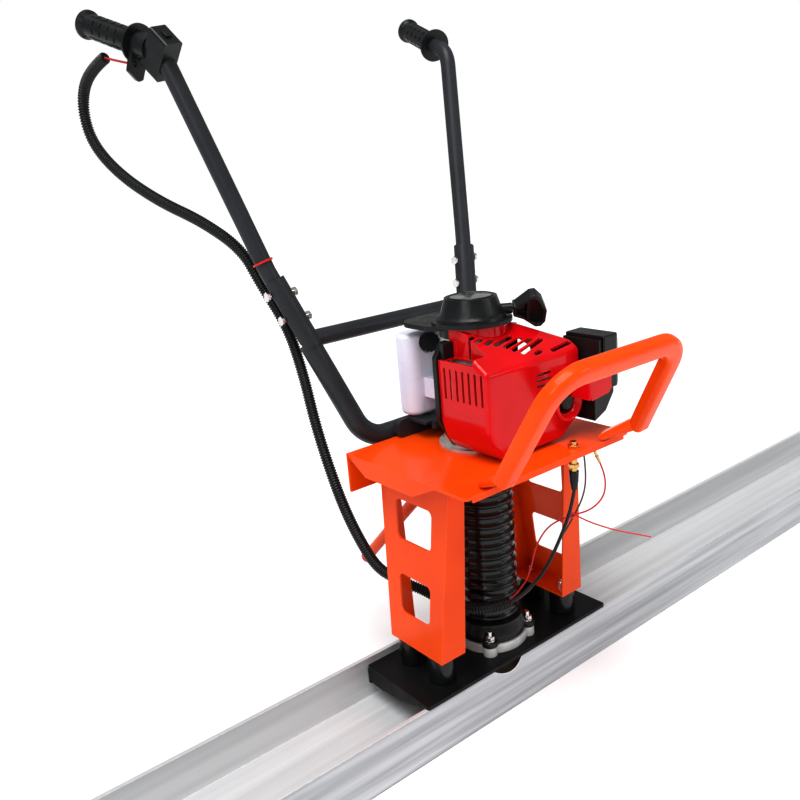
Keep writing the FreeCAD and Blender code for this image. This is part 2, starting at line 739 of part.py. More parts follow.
def fan_shroud():
    """The red moulded engine cover, open at the back, with its cooling slots."""
    outer = shroud_form(0, SHROUD_REAR)
    outer = rounded(outer, 7, lambda edge: runs_along(edge, UP) and edge.CenterOfMass.y < -90)
    inside = shroud_form(SHROUD_WALL, SHROUD_REAR + 1)
    boss = Part.makeCylinder(BOSS_RADIUS, 24, BOSS, V(0, -1, 0))
    boss = rounded(boss, 3, lambda edge: edge.CenterOfMass.y < -107)
    body = fuse([outer.cut(inside), boss.cut(inside), wing().cut(inside)])
    body = body.cut(disc(COLLAR_INNER, 495, 600)).cut(disc(52.5, 380, 393))
    collar = ring(COLLAR_OUTER, COLLAR_INNER, 500, 556)
    collar = collar.cut(box(-100, 100, SHROUD_REAR, 100, 480, 600)).cut(inside)
    collar = collar.cut(box(-100, SHELF_EDGE, -40, 100, 480, 517))
    body = fuse([body, collar])
    body = body.cut(Part.makeCylinder(16, 60, BOSS + BACK * 14, V(0, -1, 0)))
    for k in range(7):
        y = -91 + 12 * k
        body = body.cut(rounded_block(-80, -60, y, y + 4, 463, 508, 1.9, RIGHT))
    keep = disc(COLLAR_OUTER + 2, 480, 600)
    for start, end in TOP_SLOTS:
        body = body.cut(slot_through(start, end, 4.4, 490, 552.9).cut(keep))
    for k in range(3):
        z = 470 + 8 * k
        body = body.cut(rounded_block(20, 50, -110, -90, z, z + 3.4, 1.6, BACK))
    outlet = rounded_block(-69, -47.5, -73, -15, 500, 530, 4, UP).cut(disc(COLLAR_OUTER, 490, 560))
    intake = rod(9, V(90, DUCT_Y, 452), V(130, DUCT_Y, 452))
    return body.cut(outlet).cut(intake)


def shroud_liner():
    """The black guide plate behind the shroud, with a heat shield over the outlet."""
    outline = [V(-50, -5.6, 386), V(60, -5.6, 386), V(84, -5.6, 410), V(84, -5.6, 540), V(-62, -5.6, 540),
               V(-76, -5.6, 520), V(-76, -5.6, 430)]
    plate = prism(outline, V(0, 8, 0))
    shield = box(-68, -47, -13, -6, 517.4, 540)
    body = fuse([plate, shield])
    return body.cut(disc(COLLAR_OUTER + 0.4, 380, 600)).cut(box(-46, 46, -20, 20, 400, 500))


def recoil_cover():
    """The starter housing: a flanged base with a rearward lobe, a low cone and a flat top."""
    base = disc(RECOIL_FLANGE, 556.5, 562)
    skirt = disc(COLLAR_INNER - 0.4, 540.3, 556.5)
    lobe = rounded_block(-60, 36, 5, 98, 551, 558, 30, UP)
    dome = revolve([(0, 561), (50, 561), (49, 566), (44.5, 570), (37, 593), (0, 593)])
    body = fuse([base, skirt, lobe, dome])
    hollow = revolve([(0, 540), (43, 540), (43, 562), (41, 568), (34, 590), (0, 590)])
    body = body.cut(hollow)
    eye = rod(7.5, ROPE_EXIT + PULL * 38, ROPE_EXIT + PULL * EYE_REACH)
    body = fuse([body, eye.cut(hollow)])
    return body.cut(rod(3.2, ROPE_EXIT, ROPE_EXIT + PULL * 80))


def recoil_pulley():
    """The rope drum and its return-spring boss."""
    return revolve([(8, 563), (35, 563), (35, 565.5), (DRUM_GROOVE, 567), (DRUM_GROOVE, 575),
                    (35, 576.5), (35, 579), (8, 579)])


def starter_grip():
    """A moulded T grip: a nose that swells into a crosswise bar, with an opening through the web."""
    start = ROPE_EXIT + PULL * (EYE_REACH + 1.5)
    side = PULL.cross(UP)
    bar_way = (UP * 0.85 + side * 0.5).normalize()
    normal = PULL.cross(bar_way).normalize()
    centre = start + PULL * 38
    bar = rod(9.5, centre - bar_way * 17, centre + bar_way * 17)
    ends = [Part.makeSphere(9.5, centre + bar_way * reach) for reach in (-17, 17)]
    outline = [start - bar_way * 6, start + PULL * 14 - bar_way * 8, centre - bar_way * 24,
               centre + bar_way * 24, start + PULL * 14 + bar_way * 8, start + bar_way * 6]
    web = prism([point - normal * 6.5 for point in outline], normal * 13)
    nose = rod(7, start, start + PULL * 20)
    body = fuse([bar, web, nose] + ends)
    opening = rod(4, start + PULL * 21 - normal * 20, start + PULL * 21 + normal * 20)
    return body.cut(opening).cut(rod(2, start - PULL, start + PULL * 12))


def starter_rope():
    return rod(1.9, ROPE_EXIT + PULL * 36.5, ROPE_EXIT + PULL * (EYE_REACH + 13))


def fuel_tank():
    """The translucent tank, with a pocket in its front corner for the cap."""
    body = rounded_block(-53, 60, 80, 124, 412, 536, 20, UP)
    body = rounded(body, 7, lambda edge: edge.BoundBox.ZLength < 0.1)
    body = body.cut(rod(CAP_RADIUS + 3, CAP_BASE - CAP_WAY * 4, CAP_BASE + CAP_WAY * 60))
    neck = rod(10, CAP_BASE - CAP_WAY * 24, CAP_BASE - CAP_WAY * 0.4)
    strap = rounded_block(-30, 30, 52.5, 84, 440, 470, 4, RIGHT)
    return fuse([body, neck, strap])


def fuel_cap():
    """A ribbed screw cap with a bar across it."""
    cup = disc(CAP_RADIUS, 0, 10)
    rib = box(CAP_RADIUS - 0.6, CAP_RADIUS + 1, -1.1, 1.1, 0.5, 8)
    ribs = [turned(rib, V(0, 0, 0), UP, 24 * k) for k in range(15)]
    bar = rounded_block(-11, 11, -2.4, 2.4, 9, 13, 1.8, UP)
    return aimed(fuse([cup, bar] + ribs), CAP_BASE, CAP_WAY)


def tank_guard():
    """The black bracket that carries the tank above the deck's rear edge."""
    foot = rounded_block(-70, 52, 98, 111, DECK_TOP + 0.2, 408, 9, BACK)
    shelf = box(-50, 50, 60, 100, 404, 408)
    arm = box(-38, 38, 53, 60, 396, 408)
    return fuse([foot, shelf, arm])


def carburettor():
    body = rounded_block(46, 84, -68, -40, 434, 470, 4, RIGHT)
    horn = box(70, 84, DUCT_Y - 12, -62, 440, 464)
    bowl = disc(13, 422, 434, 66, -54)
    inlet = Part.makeCylinder(11, 12, V(34.6, -54, 452), RIGHT)
    tower = disc(7, 470, 488, 62, -54)
    spindle = disc(3, 488, 496, 62, -54)
    return fuse([body, horn, bowl, inlet, tower, spindle])


def throttle_arm():
    """The lever on top of the carburettor that the throttle cable pulls."""
    hub = ring(6, 3 + RUN_CLEAR, 489, 494, 62, -54)
    arm = box(60, 64, -78, -59, 489, 492)
    return fuse([hub, arm]).cut(disc(1.2, 480, 500, 62, -75))


def air_cleaner_base():
    """The black intake body under the air cleaner cover, with the duct to the carburettor."""
    y = -120
    outline = [(116, 402), (140, 412), (158, 436), (158, 448), (116, 448)]
    lower = prism([V(x, y, z) for x, z in outline], V(0, 54, 0))
    back = box(115, 121, -130, -65.5, 448, 521)
    duct = rod(8, V(84.3, DUCT_Y, 452), V(116, DUCT_Y, 452))
    pocket = rod(8.5, PRIMER - BACK * 5.2, PRIMER + BACK * 9)
    return fuse([lower, back, duct]).cut(pocket)


def air_cleaner_cover():
    """A bevelled box that hooks on at the bottom and opens outward."""
    cover = box(121.3, 166, -134, -64, 449, 526)
    top_bevel = [V(148, -140, 533), V(172, -140, 533), V(172, -140, 505)]
    cover = cover.cut(prism(top_bevel, V(0, 100, 0)))
    front_bevel = [V(140, -140, 440), V(172, -140, 440), V(172, -118, 440)]
    cover = cover.cut(prism(front_bevel, V(0, 0, 100)))
    cavity = box(120, 158, -127, -69, 454, 502)
    return cover.cut(cavity)


def primer_bulb():
    """The soft fuel bulb on the back of the intake body."""
    return Part.makeSphere(8, PRIMER + BACK * 0.4, BACK, 0, 90, 360)


# ---- stand, cable fittings and cords --------------------------------------------------

STAND_PIVOT = V(-76, 58, 300)
STAND_FOOT = V(-76, 215, 143)
ADJUSTER = V(58, -128, 0)


def stand_bracket():
    """Two ears hanging from the deck, with the pivot pin between them."""
    ears = []
    for x in (-90, -66):
        ear = box(x, x + 4, 46, 70, 290, DECK_UNDER)
        ear = rounded(ear, 8, lambda edge: runs_along(edge, RIGHT) and edge.CenterOfMass.z < 292)
        ears.append(ear)
    pin = rod(4, STAND_PIVOT + V(-15, 0, 0), STAND_PIVOT + V(15, 0, 0))
    return fuse(ears + [pin])


def kick_stand():
    """The prop leg, a tube on a crosswise sleeve."""
    way = (STAND_FOOT - STAND_PIVOT).normalize()
    leg = rod(9, STAND_PIVOT + way * 8, STAND_FOOT - way * 14)
    sleeve = rod(9, STAND_PIVOT - RIGHT * 9.6, STAND_PIVOT + RIGHT * 9.6)
    bore = rod(4 + RUN_CLEAR, STAND_PIVOT - RIGHT * 20, STAND_PIVOT + RIGHT * 20)
    return fuse([leg, sleeve]).cut(bore)


def stand_cap():
    way = (STAND_FOOT - STAND_PIVOT).normalize()
    start = STAND_FOOT - way * 14
    return fuse([rod(11.5, start, STAND_FOOT - way * 8), Part.makeSphere(11.5, STAND_FOOT - way * 8)]).cut(
        rod(30, start - way * 20, start))


def cable_adjuster():
    """The brass barrel that carries the throttle cable through the deck."""
    x, y = ADJUSTER.x, ADJUSTER.y
    barrel = disc(5, 346, 390, x, y)
    nuts = [hexagon(14, 5, V(x, y, DECK_TOP), UP), hexagon(14, 6, V(x, y, DECK_UNDER - 6), UP),
            hexagon(14, 5, V(x, y, 352), UP)]
    return fuse([barrel] + nuts)


def cable_boot():
    x, y = ADJUSTER.x, ADJUSTER.y
    sleeve = revolve([(0, 318), (4, 318), (6, 330), (7, 345.9), (0, 345.9)])
    sleeve.translate(V(x, y, 0))
    return sleeve


CONDUIT_ROUTE = [
    V(-300, 418, 959), V(-306, 455, 950), V(-313, 492, 927), V(-315, 508, 888), V(-310, 500, 842),
    V(-292, 458, 795), V(-264, 392, 752), V(-235, 318, 720), V(-207, 258, 677), V(-193, 243, 627),
    V(-168, 221, 557), V(-171, 188, 491), V(-179, 158, 424), V(-177, 138, 361), V(-167, 124, 292),
    V(-151, 112, 233), V(-132, 104, 186), V(-106, 92, 160), V(-76, 58, 140), V(-70, 14, 134),
    V(-64, -24, 137), V(-48, -52, 143), V(-20, -68, 149)]

CABLE_ROUTE = [
    V(-20, -70.1, 149.1), V(12, -82, 164), V(32, -97, 198), V(46, -112, 246), V(55, -124, 288),
    V(ADJUSTER.x, ADJUSTER.y, 318)]

STOP_ROUTE = [
    V(-19.5, -67.8, 151.9), V(9, -70, 164), V(17, -78, 196), V(20, -86, 232), V(36, -98, 262),
    V(62, -116, 272), V(92, -128, 274), V(114, -134, 288), V(118, -136, 312), V(108, -136, 342),
    V(88, -136, 376)]

GROUND_ROUTE = [
    V(-18.5, -68.2, 146.1), V(14, -69, 146), V(40, -78, 176), V(56, -94, 222), V(70, -112, 262),
    V(84, -124, 300), V(82, -130, 340), V(76, -130, 376)]

SWITCH_ROUTE = [
    V(-300, 418, 959), V(-290, 402, 953), V(-277, 385.5, 947), V(-264, 371, 943), V(-257, 355, 943),
    V(-259.5, 342.6, 948.6)]


def cable_ties():
    """Nylon straps: one around the left bar and the conduit, one around the deck leads."""
    strap = aimed(ring(15.4, 13.1, -1.5, 1.5), BAR_KINK + BAR_WAY * 14, BAR_WAY)
    near_wires = V(62, -116, 272)
    knot = aimed(ring(6, 4.4, -1.5, 1.5), near_wires, V(0.3, -0.2, 0.9))
    return group([strap, knot])


# ---- write one file per piece ---------------------------------------------------------

def parts():
    left_grip = grip()
    left_bar = upper_bar()
    right_column = column_right()
    return {
        "blade": blade(), "base_plate": base_plate(), "exciter_housing": exciter_housing(),
        "exciter_flange": exciter_flange(), "bellows_clamp": bellows_clamp(),
        "flange_bolts": flange_bolts(), "bellows": bellows(), "rubber_mounts": rubber_mounts(),
        "column_left": mirror_x(right_column), "column_right": right_column, "deck": deck(),
        "front_handle": front_handle(), "handle_frame": handle_frame(), "crossbar": crossbar(),
        "upper_bar_left": left_bar, "upper_bar_right": mirror_x(left_bar),
        "frame_bolts": frame_bolts(), "grip_left": left_grip, "grip_right": mirror_x(left_grip),
        "throttle_housing": throttle_housing(), "throttle_lever": throttle_lever(),
        "stop_button": stop_button(), "drive_shaft": drive_shaft(),
        "eccentric_weight": eccentric_weight(), "clutch_drum": clutch_drum(),
        "clutch_shoes": clutch_shoes(), "crankshaft": crankshaft(), "flywheel_fan": flywheel_fan(),
        "shaft_bearings": shaft_bearings(), "crankcase": crankcase(), "cylinder": cylinder(),
        "spark_plug": spark_plug(), "plug_boot": plug_boot(), "muffler": muffler(),
        "muffler_guard": muffler_guard(), "fan_shroud": fan_shroud(), "shroud_liner": shroud_liner(),
        "recoil_cover": recoil_cover(), "recoil_pulley": recoil_pulley(),
        "starter_grip": starter_grip(), "starter_rope": starter_rope(), "fuel_tank": fuel_tank(),
        "fuel_cap": fuel_cap(), "tank_guard": tank_guard(), "carburettor": carburettor(),
        "throttle_arm": throttle_arm(), "air_cleaner_base": air_cleaner_base(),
        "air_cleaner_cover": air_cleaner_cover(), "primer_bulb": primer_bulb(),
        "stand_bracket": stand_bracket(), "kick_stand": kick_stand(), "stand_cap": stand_cap(),
        "cable_adjuster": cable_adjuster(), "cable_boot": cable_boot(),
        "conduit": cord("conduit", CONDUIT_ROUTE, CONDUIT_RADIUS),
        "throttle_cable": cord("throttle_cable", CABLE_ROUTE, CABLE_RADIUS),
        "stop_wire": cord("stop_wire", STOP_ROUTE, WIRE_RADIUS),
        "ground_wire": cord("ground_wire", GROUND_ROUTE, WIRE_RADIUS),
        "switch_lead": cord("switch_lead", SWITCH_ROUTE, LEAD_RADIUS),
        "cable_ties": cable_ties(),
    }


os.makedirs("parts", exist_ok=True)
for name, shape in parts().items():
    if not shape.isValid():
        print("not valid:", name)
    shape.exportStep("parts/" + name + ".step")
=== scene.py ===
"""A walk-behind power screed: cords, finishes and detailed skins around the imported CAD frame. Metres."""
import json
import math
import bmesh
import bpy
from mathutils import Matrix, Vector


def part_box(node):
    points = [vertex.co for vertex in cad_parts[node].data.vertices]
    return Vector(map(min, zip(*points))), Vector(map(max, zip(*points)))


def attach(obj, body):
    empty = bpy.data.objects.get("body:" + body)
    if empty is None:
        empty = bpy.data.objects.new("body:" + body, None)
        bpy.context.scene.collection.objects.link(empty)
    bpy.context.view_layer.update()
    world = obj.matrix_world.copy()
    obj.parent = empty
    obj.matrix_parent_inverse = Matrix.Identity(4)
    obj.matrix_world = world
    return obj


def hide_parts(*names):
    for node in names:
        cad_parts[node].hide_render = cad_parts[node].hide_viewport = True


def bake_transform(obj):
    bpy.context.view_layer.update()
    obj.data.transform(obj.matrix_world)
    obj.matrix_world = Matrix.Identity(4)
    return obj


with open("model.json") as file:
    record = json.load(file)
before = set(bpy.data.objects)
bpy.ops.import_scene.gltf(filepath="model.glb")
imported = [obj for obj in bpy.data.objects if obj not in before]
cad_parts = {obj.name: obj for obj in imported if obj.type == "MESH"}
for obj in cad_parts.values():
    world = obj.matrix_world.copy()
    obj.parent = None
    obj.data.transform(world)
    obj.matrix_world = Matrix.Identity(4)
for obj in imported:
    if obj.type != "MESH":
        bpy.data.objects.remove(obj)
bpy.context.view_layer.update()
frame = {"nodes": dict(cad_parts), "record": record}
NODES = frame["nodes"]
RECORD = frame["record"]
SLOT = {part["node"]: part["material_slot"] for part in RECORD["subparts"]}
BODY = {node: body for body, members in RECORD["behaviour"]["bodies"].items() for node in members}

CAMERA_PLACE = Vector((-0.7824, -0.8540, 0.7918))
CAMERA_YAW = math.radians(-37.03)
CAMERA_PITCH = math.radians(-16.45)
CAMERA_ROLL = math.radians(-5.08)
CAMERA_LENS = 37.53
SENSOR_WIDTH = 36
NEAREST_SEEN = 0.05

CONDUIT_RADIUS = 0.0085
CABLE_RADIUS = 0.0025
WIRE_RADIUS = 0.0012
SWITCH_LEAD_RADIUS = 0.0016
# The cords' control points, the same as the CAD model's routes.
CONDUIT_ROUTE = [
    (-0.300, 0.418, 0.959), (-0.306, 0.455, 0.950), (-0.313, 0.492, 0.927), (-0.315, 0.508, 0.888),
    (-0.310, 0.500, 0.842), (-0.292, 0.458, 0.795), (-0.264, 0.392, 0.752), (-0.235, 0.318, 0.720),
    (-0.207, 0.258, 0.677), (-0.193, 0.243, 0.627), (-0.168, 0.221, 0.557), (-0.171, 0.188, 0.491),
    (-0.179, 0.158, 0.424), (-0.177, 0.138, 0.361), (-0.167, 0.124, 0.292), (-0.151, 0.112, 0.233),
    (-0.132, 0.104, 0.186), (-0.106, 0.092, 0.160), (-0.076, 0.058, 0.140), (-0.070, 0.014, 0.134),
    (-0.064, -0.024, 0.137), (-0.048, -0.052, 0.143), (-0.020, -0.068, 0.149)]
CABLE_ROUTE = [
    (-0.020, -0.0701, 0.1491), (0.012, -0.082, 0.164), (0.032, -0.097, 0.198), (0.046, -0.112, 0.246),
    (0.055, -0.124, 0.288), (0.058, -0.128, 0.318)]
STOP_ROUTE = [
    (-0.0195, -0.0678, 0.1519), (0.009, -0.070, 0.164), (0.017, -0.078, 0.196), (0.020, -0.086, 0.232),
    (0.036, -0.098, 0.262), (0.062, -0.116, 0.272), (0.092, -0.128, 0.274), (0.114, -0.134, 0.288),
    (0.118, -0.136, 0.312), (0.108, -0.136, 0.342), (0.088, -0.136, 0.376)]
GROUND_ROUTE = [
    (-0.0185, -0.0682, 0.1461), (0.014, -0.069, 0.146), (0.040, -0.078, 0.176), (0.056, -0.094, 0.222),
    (0.070, -0.112, 0.262), (0.084, -0.124, 0.300), (0.082, -0.130, 0.340), (0.076, -0.130, 0.376)]
SWITCH_ROUTE = [
    (-0.300, 0.418, 0.959), (-0.290, 0.402, 0.953), (-0.277, 0.3855, 0.947), (-0.264, 0.371, 0.943),
    (-0.257, 0.355, 0.943), (-0.2595, 0.3426, 0.9486)]


# ---- finishes -------------------------------------------------------------------------

NOISE_LOW = 0.3
NOISE_HIGH = 0.7
DRIFT_FROM = 0.35
DRIFT_TO = 0.68
DRIFT_DETAIL = 5.0
GLOSS_DETAIL = 6.0
GLOSS_FINENESS = 3
GRAIN_DETAIL = 3.0
EDGE_FLAT = 0.995
EDGE_SHARP = 0.90
# The noise that breaks up the paler edge colour, which is mostly a painted edge highlight with some wear.
HIGHLIGHT_AND_WEAR_SCALE = 120
HIGHLIGHT_AND_WEAR_LOW = 0.1
HIGHLIGHT_AND_WEAR_HIGH = 1.0
COAT_ROUGHNESS = 0.06
SCATTER_RADIUS = (0.02, 0.02, 0.025)


def noise(tree, scale, detail=4.0, stretch=(1, 1, 1)):
    """A noise value over the piece, with features about 1/scale metres across."""
    place = tree.nodes.new("ShaderNodeTexCoord")
    mapping = tree.nodes.new("ShaderNodeMapping")
    mapping.inputs["Scale"].default_value = stretch
    texture = tree.nodes.new("ShaderNodeTexNoise")
    texture.inputs["Scale"].default_value = scale
    texture.inputs["Detail"].default_value = detail
    tree.links.new(place.outputs["Object"], mapping.inputs["Vector"])
    tree.links.new(mapping.outputs["Vector"], texture.inputs["Vector"])
    return texture.outputs["Fac"]


def ramp(tree, value, stops):
    """Colours blended along a value; each stop is (position, (r, g, b))."""
    node = tree.nodes.new("ShaderNodeValToRGB")
    elements = node.color_ramp.elements
    for element, (position, colour) in zip(elements, (stops[0], stops[-1])):
        element.position = position
        element.color = (*colour, 1)
    for position, colour in stops[1:-1]:
        elements.new(position).color = (*colour, 1)
    tree.links.new(value, node.inputs["Fac"])
    return node.outputs["Color"]


def spread(tree, value, low, high):
    """A value moved from its own middle range to low..high."""
    node = tree.nodes.new("ShaderNodeMapRange")
    node.inputs["From Min"].default_value = NOISE_LOW
    node.inputs["From Max"].default_value = NOISE_HIGH
    node.inputs["To Min"].default_value = low
    node.inputs["To Max"].default_value = high
    tree.links.new(value, node.inputs["Value"])
    return node.outputs["Result"]


def mixed(tree, factor, first, colour):
    """The first colour, turning into a fixed one as the factor rises."""
    node = tree.nodes.new("ShaderNodeMix")
    node.data_type = "RGBA"
    tree.links.new(factor, node.inputs["Factor"])
    tree.links.new(first, node.inputs["A"])
    node.inputs["B"].default_value = (*colour, 1)
    return node.outputs["Result"]


def edge_highlight_and_wear_mask(tree, width):
    """1 near a sharp edge and 0 on a flat face, broken up so that the painted edge highlight and the wear are
    uneven.
    """
    bevel = tree.nodes.new("ShaderNodeBevel")
    bevel.samples = 4
    bevel.inputs["Radius"].default_value = width
    surface = tree.nodes.new("ShaderNodeNewGeometry")
    dot = tree.nodes.new("ShaderNodeVectorMath")
    dot.operation = "DOT_PRODUCT"
    tree.links.new(bevel.outputs["Normal"], dot.inputs[0])
    tree.links.new(surface.outputs["Normal"], dot.inputs[1])
    edge = tree.nodes.new("ShaderNodeMapRange")
    edge.inputs["From Min"].default_value = EDGE_FLAT
    edge.inputs["From Max"].default_value = EDGE_SHARP
    tree.links.new(dot.outputs["Value"], edge.inputs["Value"])
    uneven = tree.nodes.new("ShaderNodeMath")
    uneven.operation = "MULTIPLY"
    tree.links.new(edge.outputs["Result"], uneven.inputs[0])
    tree.links.new(spread(tree, noise(tree, HIGHLIGHT_AND_WEAR_SCALE), HIGHLIGHT_AND_WEAR_LOW, HIGHLIGHT_AND_WEAR_HIGH), uneven.inputs[1])
    return uneven.outputs["Value"]


def finish(name, colour, tint, rough, patch=18, grain=700, height=0.00002, stretch=(1, 1, 1),
           spread_by=0.08, edge_highlight_and_wear=None, edge_highlight_and_wear_width=0.0012, metallic=0.0, coat=0.0, subsurface=0.0,
           specular=0.5):
    """A shader whose colour drifts from colour to tint, with uneven gloss and a fine bump."""
    material = bpy.data.materials.new(name)
    material.use_nodes = True
    tree = material.node_tree
    shader = tree.nodes["Principled BSDF"]
    drift = noise(tree, patch, DRIFT_DETAIL, stretch)
    base = ramp(tree, drift, [(DRIFT_FROM, colour), (DRIFT_TO, tint)])
    # A paler colour towards sharp edges: mostly a painted highlight along the edges, with some wear.
    if edge_highlight_and_wear:
        base = mixed(tree, edge_highlight_and_wear_mask(tree, edge_highlight_and_wear_width), base, edge_highlight_and_wear)
    fine = noise(tree, grain, GRAIN_DETAIL, stretch)
    tree.links.new(base, shader.inputs["Base Color"])
    gloss = noise(tree, patch * GLOSS_FINENESS, GLOSS_DETAIL, stretch)
    tree.links.new(spread(tree, gloss, rough - spread_by, rough + spread_by), shader.inputs["Roughness"])
    bump = tree.nodes.new("ShaderNodeBump")
    bump.inputs["Distance"].default_value = height
    bump.inputs["Strength"].default_value = 1.0
    tree.links.new(fine, bump.inputs["Height"])
    tree.links.new(bump.outputs["Normal"], shader.inputs["Normal"])
    shader.inputs["Metallic"].default_value = metallic
    shader.inputs["Coat Weight"].default_value = coat
    shader.inputs["Coat Roughness"].default_value = COAT_ROUGHNESS
    shader.inputs["Subsurface Weight"].default_value = subsurface
    shader.inputs["Subsurface Radius"].default_value = SCATTER_RADIUS
    shader.inputs["Specular IOR Level"].default_value = specular
    return material


# Each finish's paler edge colour is mostly a painted highlight along its edges, with some wear.
FINISHES = {
    # The blade's near-white edge colour is a painted highlight along its ridge and folds.
    "blade_metal": finish("aluminium_mill", (0.68, 0.685, 0.69), (0.56, 0.57, 0.58), 0.42, patch=60,
                          grain=900, stretch=(0.02, 1, 1), metallic=0.3, height=0.00006, spread_by=0.10,
                          specular=0.4, edge_highlight_and_wear=(0.95, 0.95, 0.96), edge_highlight_and_wear_width=0.0022),
    # The sloping front: brushed grain, with painted shade as a darker colour than the pan; its near-white
    # edges are a painted highlight.
    "brushed_shaded_front": finish("aluminium_brushed_shaded", (0.58, 0.59, 0.61), (0.34, 0.35, 0.37), 0.42, patch=110,
                            grain=900, stretch=(0.02, 1, 1), metallic=0.35, height=0.00008, spread_by=0.12,
                            specular=0.4, edge_highlight_and_wear=(0.95, 0.95, 0.96), edge_highlight_and_wear_width=0.0018),
    "deck_paint": finish("orange_gloss_paint", (0.88, 0.088, 0.004), (0.77, 0.070, 0.003), 0.22, patch=7,
                         grain=420, height=0.00003, coat=0.10, edge_highlight_and_wear=(0.98, 0.17, 0.03), spread_by=0.05,
                         specular=0.14),
    "frame_paint": finish("black_powder_coat", (0.026, 0.028, 0.032), (0.034, 0.037, 0.042), 0.40, patch=14,
                          grain=1500, height=0.00005, edge_highlight_and_wear=(0.05, 0.05, 0.055), specular=0.3),
    "rubber": finish("black_rubber", (0.006, 0.007, 0.008), (0.012, 0.013, 0.014), 0.34, patch=30, grain=1200,
                     height=0.00004, edge_highlight_and_wear=(0.035, 0.037, 0.037), specular=0.35),
    "black_plastic": finish("black_moulded_plastic", (0.007, 0.008, 0.009), (0.012, 0.013, 0.014), 0.34,
                            patch=20, grain=2200, height=0.00003, edge_highlight_and_wear=(0.04, 0.042, 0.045), specular=0.35),
    "red_plastic": finish("red_gloss_plastic", (0.70, 0.003, 0.008), (0.56, 0.002, 0.006), 0.13, patch=10,
                          grain=350, height=0.00002, coat=0.2, edge_highlight_and_wear=(0.88, 0.06, 0.06), spread_by=0.04,
                          specular=0.2),
    "tank_plastic": finish("milky_plastic", (0.80, 0.81, 0.90), (0.70, 0.71, 0.84), 0.30, patch=9, grain=600,
                           height=0.00003, subsurface=0.5),
    "primer_plastic": finish("clear_bulb", (0.70, 0.66, 0.55), (0.60, 0.56, 0.46), 0.2, patch=40,
                             subsurface=0.5),
    "zinc_steel": finish("zinc_plate", (0.78, 0.78, 0.77), (0.64, 0.64, 0.62), 0.20, patch=60, grain=1500,
                         metallic=1.0),
    "steel": finish("turned_steel", (0.46, 0.46, 0.47), (0.34, 0.34, 0.35), 0.34, patch=50, metallic=1.0),
    "cast_metal": finish("rough_casting", (0.60, 0.44, 0.27), (0.46, 0.35, 0.25), 0.55, patch=70, grain=900,
                         height=0.0003, metallic=0.1),
    "engine_alloy": finish("cast_aluminium", (0.72, 0.72, 0.71), (0.55, 0.55, 0.54), 0.40, patch=60,
                           grain=900, height=0.00015, metallic=0.5),
    "brass": finish("brass", (0.72, 0.47, 0.17), (0.55, 0.34, 0.12), 0.26, patch=90, metallic=1.0),
    "red_lead": finish("red_lead", (0.62, 0.012, 0.012), (0.52, 0.01, 0.01), 0.34, patch=60),
    "brown_lead": finish("brown_lead", (0.10, 0.045, 0.03), (0.07, 0.03, 0.022), 0.4, patch=60),
    "plate_paint": finish("deep_black_paint", (0.004, 0.0045, 0.005), (0.008, 0.009, 0.010), 0.45, patch=14,
                          grain=1500, height=0.00005, edge_highlight_and_wear=(0.04, 0.04, 0.042), specular=0.2),
    "wet_rubber": finish("glossy_rubber", (0.004, 0.0045, 0.005), (0.009, 0.010, 0.010), 0.20, patch=30,
                         grain=900, height=0.00004, edge_highlight_and_wear=(0.03, 0.034, 0.034), specular=0.5),
    "bright_casting": finish("bright_casting", (0.84, 0.84, 0.83), (0.66, 0.66, 0.65), 0.36, patch=60,
                             grain=900, height=0.00015, metallic=0.3),
    "rope": finish("braided_rope", (0.05, 0.05, 0.052), (0.12, 0.12, 0.12), 0.75, patch=700, grain=1500,
                   height=0.0003),
}


# ---- pieces ---------------------------------------------------------------------------

def link(name, data):
    piece = bpy.data.objects.new(name, data)
    bpy.context.scene.collection.objects.link(piece)
    return piece


def dressed(piece, slot, finish_name=None):
    """Gives a piece the finish of its record slot, or the named finish."""
    piece.data.materials.clear()
    piece.data.materials.append(FINISHES[finish_name or slot])
    return piece


def stands_for(piece, *nodes, finish_name=None):
    """Makes a piece replace CAD nodes, on their body and with their slot's finish."""
    dressed(piece, SLOT[nodes[0]], finish_name)
    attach(piece, BODY[nodes[0]])
    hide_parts(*nodes)
    return piece


def made_real(piece):
    """Turns the piece's modifiers into mesh."""
    graph = bpy.context.evaluated_depsgraph_get()
    mesh = bpy.data.meshes.new_from_object(piece.evaluated_get(graph))
    piece.modifiers.clear()
    piece.data = mesh
    return piece


def smooth(piece, degrees=38):
    piece.data.shade_smooth()
    piece.data.set_sharp_from_angle(angle=math.radians(degrees))
    return piece


def soften(piece, width, segments=2, degrees=32):
    """Rounds every sharp edge and keeps the flat faces flat in the light."""
    bevel = piece.modifiers.new("edge", "BEVEL")
    bevel.width = width
    bevel.segments = segments
    bevel.limit_method = "ANGLE"
    bevel.angle_limit = math.radians(degrees)
    bevel.use_clamp_overlap = True
    made_real(piece)
    smooth(piece)
    even = piece.modifiers.new("even", "WEIGHTED_NORMAL")
    even.keep_sharp = True
    return made_real(piece)


def from_bmesh(name, form):
    mesh = bpy.data.meshes.new(name)
    form.to_mesh(mesh)
    form.free()
    return link(name, mesh)


# Pieces whose look differs from the other pieces of their slot.
OWN_FINISH = {"base_plate": "plate_paint", "rubber_mounts": "wet_rubber", "bellows": "wet_rubber",
              "exciter_flange": "bright_casting"}
MERGE_DISTANCE = 0.000002
FLAT_ANGLE = math.radians(1)
FINE_SEGMENTS = 2
BROAD_ROUNDING = 0.003
BROAD_SEGMENTS = 5
# The blade's front faces lie before this y and turn this far towards the front.
BLADE_FRONT_Y = -0.06
BLADE_FRONT_FACING = -0.5


